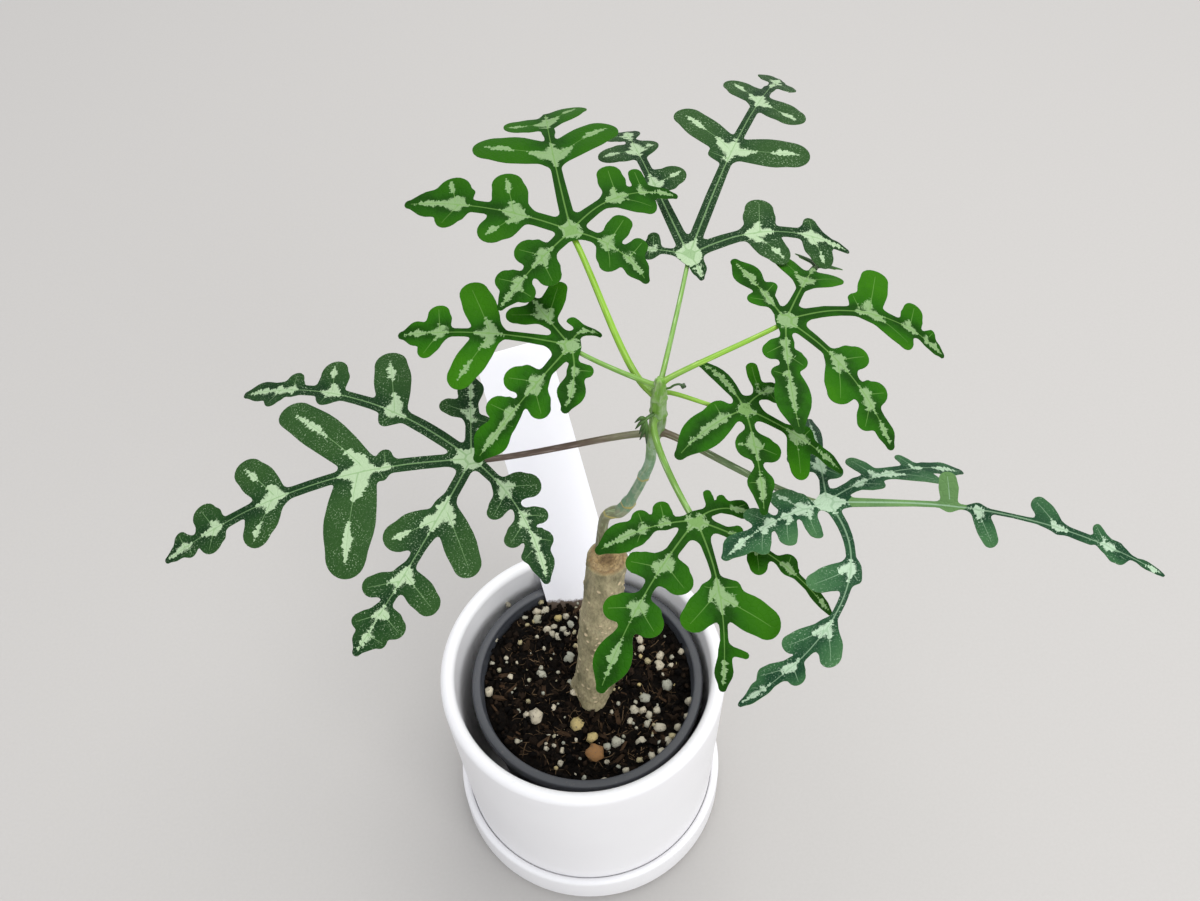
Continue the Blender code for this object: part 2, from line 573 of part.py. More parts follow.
# Points up the scion with its radius there, from the graft to the shoot's tip
SCION = ((8.9, 4.6, 165.6, 1.9), (9.2, 4.6, 172.0, 1.6), (9.9, 4.5, 179.6, 1.5), (11.2, 4.3, 183.3, 1.6),
         (13.0, 4.0, 184.9, 1.6), (14.9, 3.6, 186.0, 2.0), (16.7, 3.2, 189.3, 2.0), (18.0, 3.0, 192.6, 1.7),
         (20.4, 2.5, 200.2, 1.6), (21.7, 2.2, 205.0, 1.5), (23.5, 1.8, 212.3, 1.5), (23.9, 1.5, 219.4, 1.4),
         (24.3, 1.2, 224.1, 1.8), (25.2, 1.0, 229.2, 2.1), (25.6, 0.7, 235.1, 2.1), (25.6, 0.5, 241.3, 2.0),
         (25.8, 0.2, 246.2, 1.8), (25.8, 0.0, 250.0, 1.1))


def scion(mat):
    path = smooth_path(SCION, 2)
    points, faces = swept([p[:3] for p in path], [p[3] for p in path], 10)
    return add_object("scion", points, faces, mat)


def stem_at(z):
    """Middle and radius of the scion at a height above its lower bend."""
    upper = np.array([p for p in SCION if p[2] > 190])
    return np.array([np.interp(z, upper[:, 2], upper[:, i]) for i in (0, 1, 3)])


def petiole(name, leaf, mat):
    """A leaf stalk from the stem's side to the underside of the palm."""
    stalk = leaf.petiole
    x, y, r = stem_at(stalk.height)
    side = math.radians(stalk.side)
    out = np.array((math.cos(side), math.sin(side), 0.0))
    start = np.array((x, y, stalk.height)) + out * (r + GAP + 0.15 * stalk.r)
    palm = np.array(leaf.centre, float)
    normal = palm_frame(leaf)[2]
    tip_r = stalk.r * PETIOLE_TAPER
    end = palm - normal * (BLADE_T / 2 + GAP + tip_r)
    back = start - end
    span = np.linalg.norm(back)
    back -= normal * (back @ normal)
    leaving = start + out * 0.15 * span + (0, 0, stalk.arch)
    arriving = end + back * 0.35 - normal * stalk.dip
    knots = [start, leaving, arriving, end]
    steps = 10
    path = []
    for i in range(steps + 1):
        t = i / steps
        w = ((1 - t) ** 3, 3 * t * (1 - t) ** 2, 3 * t * t * (1 - t), t ** 3)
        path.append(sum(k * v for k, v in zip(w, knots)))
    radii = [stalk.r + (tip_r - stalk.r) * i / steps for i in range(steps + 1)]
    return add_object("petiole_" + name, *swept(path, radii, 8), mat)


# Bends and tips of the fingers of the newest leaf, which hangs beside the stem
FINGERS = (((20.9, -2.9, 238.4), (19.2, -3.2, 237.0)), ((20.9, -3.1, 236.9), (19.3, -3.7, 234.9)),
           ((21.3, -3.4, 235.6), (20.3, -4.0, 233.2)), ((21.6, -3.9, 234.6), (20.4, -4.8, 231.6)),
           ((22.2, -4.2, 234.4), (22.1, -5.4, 230.4)))
TUFT = (22.2, -2.6, 237.4)


def shoot_tuft(mat):
    """The newest leaf, still a tuft of narrow folded fingers."""
    knob = np.array(TUFT)
    middle = [knob + (0.5, 0.4, 0.2), knob, knob - (0.6, 0.3, 0.2)]
    core = add_object("shoot_tuft", *swept(middle, [0.5, 0.8, 0.5], 8), mat)
    fingers = []
    for k, (bend, tip) in enumerate(FINGERS):
        path = smooth_path([knob, bend, tip], 3)
        radii = [0.4 + 0.25 * math.sin(math.pi * i / (len(path) - 1)) for i in range(len(path))]
        fingers.append(add_object(f"finger_{k}", *swept(path, radii, 6), mat))
    return cut(core, fingers, "UNION")


# The tendril leaves the stem just under its tip and ends in a flower bud
TENDRIL = ((28.3, -0.7, 247.5), (29.3, -1.0, 248.8), (30.6, -1.1, 249.3), (31.6, -1.1, 248.6),
           (32.3, -1.1, 248.2))


def tendril(mat):
    path = smooth_path(TENDRIL, 4)
    n = len(path) - 1
    radii = [0.35 + 0.45 * math.exp(-((i / n - 0.8) / 0.12) ** 2) for i in range(n + 1)]
    return add_object("tendril", *swept(path, radii, 6), mat)


# Leaf blades

def smin(a, b, k):
    """The smaller of two fields, rounded where they meet."""
    h = np.maximum(k - np.abs(a - b), 0) / k
    return np.minimum(a, b) - h * h * k / 4


def stroke(p, a, b, stations, radii):
    """Distance of points from a bar between a and b whose radius changes along it."""
    a, b = np.array(a, float), np.array(b, float)
    ab = b - a
    h = np.clip((p - a) @ ab / (ab @ ab), 0, 1)
    return np.linalg.norm(p - a - h[:, None] * ab, axis=1) - np.interp(h, stations, radii)


def palm_frame(leaf):
    """The palm's two plane axes and its normal, as rows."""
    tilt, toward = math.radians(leaf.tilt), math.radians(leaf.toward)
    n = np.array((math.sin(tilt) * math.cos(toward), math.sin(tilt) * math.sin(toward), math.cos(tilt)))
    u = np.array((1.0, 0.0, 0.0)) - n * n[0]
    u /= np.linalg.norm(u)
    return np.array((u, np.cross(n, u), n))


class LobeForm:
    """A lobe's outline in the palm's plane, and how the plane bends into its surface."""

    steps = 60

    def __init__(self, lobe_row):
        self.row = lobe_row
        self.start = math.radians(lobe_row.heading)
        self.bend = math.radians(lobe_row.turn or 0.01) / lobe_row.length
        s = np.linspace(0, lobe_row.length, self.steps + 1)
        f = s / lobe_row.length
        heading = self.start + self.bend * s
        rise = np.radians(lobe_row.lift * (1 - f) * np.minimum(1, 5 * f) - lobe_row.droop * f)
        roll = np.radians(np.interp(f, (0, 0.35, 1), (0, lobe_row.roll, lobe_row.tip_roll)))
        ahead = np.stack([np.cos(rise) * np.cos(heading), np.cos(rise) * np.sin(heading), np.sin(rise)], 1)
        level = np.stack([-np.sin(heading), np.cos(heading), 0 * heading], 1)
        upward = np.cross(ahead, level)
        c, w = np.cos(roll)[:, None], np.sin(roll)[:, None]
        self.s, self.ahead = s, ahead
        self.left, self.normal = c * level + w * upward, c * upward - w * level
        half_steps = (ahead[1:] + ahead[:-1]) / 2 * (s[1] - s[0])
        self.rib = np.vstack([np.zeros(3), np.cumsum(half_steps, axis=0)])

    def stations(self, p):
        """(distance along the midrib, distance to its left) of points in the palm's plane."""
        radius = 1 / self.bend
        t0 = np.array((math.cos(self.start), math.sin(self.start)))
        n0 = np.array((-t0[1], t0[0]))
        q = p - n0 * radius
        turned_by = np.arctan2(q @ t0, -(q @ n0) * np.sign(radius)) * np.sign(radius)
        s = turned_by * radius
        t = (abs(radius) - np.linalg.norm(q, axis=1)) * np.sign(radius)
        before = (p @ t0 < 0) & (np.abs(p @ n0) < abs(radius))
        s = np.where(before, p @ t0, s)
        t = np.where(before, p @ n0, t)
        length = self.row.length
        angle = self.start + self.bend * length
        t1 = np.array((math.cos(angle), math.sin(angle)))
        n1 = np.array((-t1[1], t1[0]))
        beyond = p - (n0 * radius - n1 * radius)
        after = (s > length) & (beyond @ t1 > 0)
        s = np.where(after, length + beyond @ t1, s)
        t = np.where(after, beyond @ n1, t)
        return np.stack([s, t], 1)

    def distance(self, st):
        """Distance from the lobe's outline, negative inside it."""
        row = self.row
        start = max(row.length - 2 * row.end, 2.0)
        d = stroke(st, (0, 0), (start + 1, 0), (0, 0.15, 0.4, 1),
                   (1.7, row.neck + 0.5, row.neck, row.neck))
        tip = min(0.9, row.wide * 0.4)
        d = smin(d, stroke(st, (start, 0), (row.length - tip, 0), (0, 0.3, 0.6, 0.85, 1),
                           (row.neck, row.wide * 0.85, row.wide, row.wide * 0.6, tip)), WEB)
        for station, reach, lean, half in row.side:
            span = math.hypot(reach, lean)
            f = max(0.2, 1 - 0.8 * half / span)
            end = (station + lean * f, reach * f)
            radii = (0.62 * half, 0.86 * half, half, 0.8 * half)
            d = smin(d, stroke(st, (station, 0), end, (0, 0.3, 0.7, 1), radii), WEB)
        return d

    def surface(self, st):
        """Where stations lie in the palm's frame once the lobe is bent."""
        s, t = st[:, 0], st[:, 1]
        inside = np.clip(s, 0, self.row.length)

        def along(rows):
            return np.stack([np.interp(inside, self.s, rows[:, i]) for i in range(3)], 1)

        rise = BLADE_FOLD * (np.sqrt(t * t + 1) - 1) - BLADE_SAG * t * t
        return (along(self.rib) + (s - inside)[:, None] * along(self.ahead)
                + t[:, None] * along(self.left) + rise[:, None] * along(self.normal))


def palm_web(leaf, p):
    """Distance from the round web between the midribs, which lies away from the petiole."""
    headings = np.radians([row.heading for row in leaf.lobes])
    ahead = np.array((np.cos(headings).sum(), np.sin(headings).sum()))
    ahead /= max(1.0, np.linalg.norm(ahead))
    return np.linalg.norm(p - ahead * PALM_SHIFT, axis=1) - PALM_R


def blade_field(leaf, forms, p):
    """Distance from the whole blade's outline."""
    d = palm_web(leaf, p)
    for form in forms:
        d = smin(d, form.distance(form.stations(p)), WEB)
    return d


# Which two sides of a grid cell the outline crosses, for each set of its corners that is inside
CELL_SIDES = {1: ((0, 3),), 2: ((1, 0),), 3: ((1, 3),), 4: ((2, 1),), 5: ((0, 3), (2, 1)), 6: ((2, 0),),
              7: ((2, 3),), 8: ((3, 2),), 9: ((0, 2),), 10: ((1, 0), (3, 2)), 11: ((1, 2),),
              12: ((3, 1),), 13: ((0, 1),), 14: ((3, 0),)}


def outline_loops(values, xs, ys):
    """Closed loops where a field on a grid is zero, its inside on their left."""
    inside = values < 0
    code = (inside[:-1, :-1] * 1 + inside[1:, :-1] * 2 + inside[1:, 1:] * 4 + inside[:-1, 1:] * 8)
    after, place = {}, {}
    for i, j in zip(*np.nonzero((code > 0) & (code < 15))):
        corners = ((i, j), (i + 1, j), (i + 1, j + 1), (i, j + 1))
        for pair in CELL_SIDES[int(code[i, j])]:
            keys = []
            for side in pair:
                a, b = sorted((corners[side], corners[(side + 1) % 4]))
                key = (int(a[0]), int(a[1]), int(b[0]), int(b[1]))
                f = values[a] / (values[a] - values[b])
                x, y = xs[a[0]], ys[a[1]]
                place[key] = (x + f * (xs[b[0]] - x), y + f * (ys[b[1]] - y))
                keys.append(key)
            after[keys[0]] = keys[1]
    loops = []
    while after:
        key = next(iter(after))
        loop = []
        while key in after:
            loop.append(place[key])
            key = after.pop(key)
        loops.append(np.array(loop))
    return loops


def thinned(points, tolerance):
    """Drops the points of an open line that lie within a tolerance of the line without them."""
    if len(points) < 3:
        return points
    a, b = points[0], points[-1]
    ab = b - a
    rel = points[1:-1] - a
    off = np.abs(ab[0] * rel[:, 1] - ab[1] * rel[:, 0]) / max(1e-9, np.linalg.norm(ab))
    k = int(np.argmax(off)) + 1
    if off[k - 1] < tolerance:
        return np.array((a, b))
    return np.vstack([thinned(points[:k + 1], tolerance)[:-1], thinned(points[k:], tolerance)])


def blade_outline(leaf, forms):
    """The outer loop of a blade and the field's value function."""
    reach = 14 + max(abs(v) for form in forms for v in form.rib[:, :2].ravel())
    grid = np.arange(-reach - 30, reach + 30, FIELD_CELL)
    gx, gy = np.meshgrid(grid, grid, indexing="ij")
    values = blade_field(leaf, forms, np.stack([gx.ravel(), gy.ravel()], 1)).reshape(gx.shape)
    loop = max(outline_loops(values, grid, grid), key=len)
    far = int(np.argmax(np.linalg.norm(loop - loop[0], axis=1)))
    first = thinned(loop[:far + 1], OUTLINE_TOLERANCE)
    second = thinned(np.vstack([loop[far:], loop[:1]]), OUTLINE_TOLERANCE)
    return np.vstack([first[:-1], second[:-1]])


def blade(name, leaf, mat):
    forms = [LobeForm(row) for row in leaf.lobes]
    loop = blade_outline(leaf, forms)
    inner = []
    low, high = loop.min(0), loop.max(0)
    for j, y in enumerate(np.arange(low[1], high[1], BLADE_POINT_STEP * 0.87)):
        for x in np.arange(low[0] + (j % 2) * BLADE_POINT_STEP / 2, high[0], BLADE_POINT_STEP):
            inner.append((x, y))
    for form in forms:
        for s in np.arange(5, form.row.length - 2, 5.0):
            a = form.start + form.bend * s / 2
            chord = 2 / form.bend * math.sin(form.bend * s / 2)
            inner.append((chord * math.cos(a), chord * math.sin(a)))
    inner = np.array(inner)
    inner = inner[blade_field(leaf, forms, inner) < -1.1]
    flat = np.vstack([loop, inner])
    edges = [(i, (i + 1) % len(loop)) for i in range(len(loop))]
    verts, _, faces = delaunay_2d_cdt([Vector(p) for p in flat], edges, [], 1, 1e-4)[:3]
    flat = np.array([tuple(v) for v in verts])
    faces = np.array([tuple(f) for f in faces])
    middle, total = np.zeros((len(flat), 3)), np.zeros(len(flat))
    for form in forms:
        st = form.stations(flat)
        w = np.exp(-np.maximum(form.distance(st), 0) / LOBE_BLEND) + 1e-9
        middle += form.surface(st) * w[:, None]
        total += w
    middle = middle / total[:, None] @ palm_frame(leaf) + np.array(leaf.centre)
    normals = np.zeros_like(middle)
    a, b, c = (middle[faces[:, i]] for i in range(3))
    for i in range(3):
        np.add.at(normals, faces[:, i], np.cross(b - a, c - a))
    normals /= np.linalg.norm(normals, axis=1)[:, None]
    n = len(flat)
    points = np.vstack([middle + normals * BLADE_T / 2, middle - normals * BLADE_T / 2])
    solid = [tuple(map(int, f)) for f in faces] + [tuple(int(i) + n for i in f[::-1]) for f in faces]
    sides = {(int(f[i]), int(f[(i + 1) % 3])) for f in faces for i in range(3)}
    for i, j in sorted(sides):
        if (j, i) not in sides:
            solid += [(j, i, i + n), (j, i + n, j + n)]
    return add_object("blade_" + name, points, solid, mat, 60)


def main():
    for obj in list(bpy.data.objects):
        bpy.data.objects.remove(obj)
    glaze = material("white_glaze", (0.86, 0.86, 0.87), 0.32)
    saucer(glaze)
    cover_pot(glaze)
    grower_pot(material("grey_plastic", (0.055, 0.06, 0.075), 0.45))
    potting_mix(material("potting_mix", (0.035, 0.022, 0.015), 0.95))
    plant_label(material("white_plastic", (0.83, 0.82, 0.87), 0.4))
    rootstock(material("bark", (0.33, 0.28, 0.17), 0.8))
    scion(material("green_stem", (0.25, 0.42, 0.30), 0.5))
    young = material("young_leaf", (0.03, 0.10, 0.015), 0.5)
    shoot_tuft(young)
    tendril(young)
    stalks = {key: material("petiole_" + key, colour, 0.45) for key, colour in PETIOLE_COLOURS.items()}
    blades = {key: material("blade_" + key, colour, 0.42) for key, colour in BLADE_COLOURS.items()}
    for name, leaf in LEAVES.items():
        petiole(name, leaf, stalks[leaf.colour[1]])
        blade(name, leaf, blades[leaf.colour[0]])


main()
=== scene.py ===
"""Looks of the potted adenia: a grafted, cut-leaved plant in a white cover pot on its saucer.

Lengths are in millimetres, as in the solids' source, and are turned into metres when a mesh is made.
The origin is the middle of the saucer's underside, +Z is up and the front of the pot faces -Y.
"""

import math
import random
from collections import namedtuple

import bpy
import numpy as np
from mathutils import Matrix, Vector, noise
from mathutils.geometry import delaunay_2d_cdt


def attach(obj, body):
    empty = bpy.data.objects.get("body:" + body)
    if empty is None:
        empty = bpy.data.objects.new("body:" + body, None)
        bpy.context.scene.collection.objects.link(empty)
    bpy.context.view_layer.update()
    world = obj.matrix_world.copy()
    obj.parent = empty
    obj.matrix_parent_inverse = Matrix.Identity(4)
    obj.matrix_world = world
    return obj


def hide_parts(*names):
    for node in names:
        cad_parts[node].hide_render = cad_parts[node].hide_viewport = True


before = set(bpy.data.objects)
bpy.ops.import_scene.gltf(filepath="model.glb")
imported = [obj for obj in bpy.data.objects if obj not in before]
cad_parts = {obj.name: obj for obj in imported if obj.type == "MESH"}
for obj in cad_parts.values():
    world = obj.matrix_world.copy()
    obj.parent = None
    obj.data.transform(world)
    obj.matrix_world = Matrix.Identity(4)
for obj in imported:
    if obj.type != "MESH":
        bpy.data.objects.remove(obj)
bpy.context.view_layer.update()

MM = 0.001

# The photograph's camera

PHOTO_W, PHOTO_H = 1200, 901
FOCAL_PX = 1300.0            # focal length in the photograph's pixels
SENSOR = 36.0                # width of its sensor
EYE = (9.8, -210.0, 505.0)
PITCH = 53.5                 # degrees below the horizon
ROLL = -2.77

LIGHTS_AIM = (0.02, 0, 0.15)    # the point that the lights face, in metres

# Pots, label and rootstock, as in the solids

GAP = 0.3                    # clearance between pieces that touch
HUB_R = 2.0                  # radius of the disc that closes a floor without a drain

SAUCER_R = 50.9
SAUCER_H = 17.0
SAUCER_WALL = 3.0            # 0.2 more than in the solids, so that the gap to the pot is a fine line
SAUCER_FLOOR = 3.0
SAUCER_CORNER = 4.0
SAUCER_HOLLOW = 0.8          # the underside stands this far off the table inside the foot ring

POT_H = 95.0                 # the cover pot's rim above the table
POT_RIM_R = 50.0
POT_FOOT_R = 47.6
POT_WALL = 5.0
POT_FLOOR = 5.0
POT_CORNER = 7.0
POT_DRAIN_R = 6.0

INNER_SHIFT = (1.3, 0.0)     # the grower's pot stands a little off centre
INNER_RIM_Z = 86.0
INNER_RIM_R = 41.0
INNER_BAND = 4.5             # height of the thicker band under its rim
INNER_WALL_R = 39.0          # outer radius just under the band
INNER_FOOT_R = 31.0
INNER_WALL = 1.2
INNER_FLOOR = 1.5
INNER_DRAIN_R = 4.0

SOIL_Z = 81.8                # mean level of the potting mix

LABEL_W = 27.0
LABEL_T = 0.8
LABEL_ENTRY = (1.4, 32.3, 83.3)    # middle of the label where it leaves the mix
LABEL_HEAD = (-20.4, 96.6, 154.7)  # middle of its top edge
LABEL_BURIED = 34.0
LABEL_CORNER = 4.0
LABEL_POINT = 9.0            # how much is cut off the corners of its foot
LABEL_BOW = 1.6              # halfway up, its two edges stand back by a quarter of this

STUMP_FOOT = (1.4, -3.3, 62.0)     # middle of the rootstock's buried end
STUMP_TOP = (10.4, 0.5, 165.0)
STUMP_R = 6.3

# How finely the rootstock is cut, and how many small things lie on the mix and the bark

STUMP_SIDES, STUMP_RINGS, FACE_RINGS = 110, 190, 26
CRUMBS, CHIPS, FIBRES, SMALL_GRAINS, CORK_SPOTS = 2300, 95, 360, 110, 120

# Leaves, as in the solids, cut finer

BLADE_T = 0.7                # thickness that the solids have
LAMINA_T = 0.42              # true thickness of a leaf
EDGE_T = 0.2                 # and at its edge
PETIOLE_TAPER = 0.8          # a petiole's radius at the blade, as a share of that at the stem
PALM_R = 3.3                 # round web where the five midribs meet
PALM_SHIFT = 2.5             # the web lies this far ahead of the petiole's end
WEB = 1.9                    # rounding of the bays between lobes
BLADE_FOLD = 0.08            # a blade rises this much for each millimetre from its midrib
BLADE_SAG = 0.004            # and sags again towards its edge
LOBE_BLEND = 1.2             # how fast one lobe's bend gives way to the next
FIELD_CELL = 0.55            # grid on which a blade's outline is found
OUTLINE_TOLERANCE = 0.05
LAMINA_STEP = 1.7            # spacing of the points in a blade
VEIN_STEP = 1.0              # and along its veins
VEIN_NEAREST = 0.42          # points of two veins that lie nearer than this are made one
VEIN_SIDE = 0.55             # a row of points runs this far from each side of a vein
MIDRIB = 0.22                # half width of a midrib where it starts
SIDE_VEIN = 0.12
PUFF = 0.16                  # a blade swells this much between its veins
WAVE, WAVE_LENGTH = 0.55, 11.0       # it waves gently away from its midribs
RIPPLE, RIPPLE_LENGTH = 0.12, 4.5    # and ripples all over
KEEL = 0.38                  # veins stand out this far under it

FLAT_UNIT = 100              # millimetres to one unit of a piece's own flat coordinates
SHARP = 40                   # degrees between two faces past which their edge is drawn sharp

Lobe = namedtuple("Lobe", "heading length turn droop lift roll tip_roll neck wide end side")
Leaf = namedtuple("Leaf", "centre tilt toward petiole colour lobes")

# A petiole leaves the stem at a height, on a side in degrees, with a radius r. It arches up from there
# by arch and passes below the palm by dip.
Petiole = namedtuple("Petiole", "height side r arch dip")


def lobe(heading, length, side=(), turn=0, droop=0, lift=0, roll=0, tip_roll=0, neck=1.5, wide=4, end=6):
    """One of a leaf's five cut lobes.

    heading is the way its midrib leaves the palm and turn how far it curves by the tip, in
    degrees in the palm's plane. lift and droop bend it up and then down, roll and tip_roll twist
    it. neck is half the width between the side lobes; wide and end are half the width and half
    the length of the end lobe. Each side lobe is (station along the midrib, reach to the left or,
    if negative, to the right, lean towards the tip, half width).
    """
    return Lobe(heading, length, turn, droop, lift, roll, tip_roll, neck, wide, end, side)


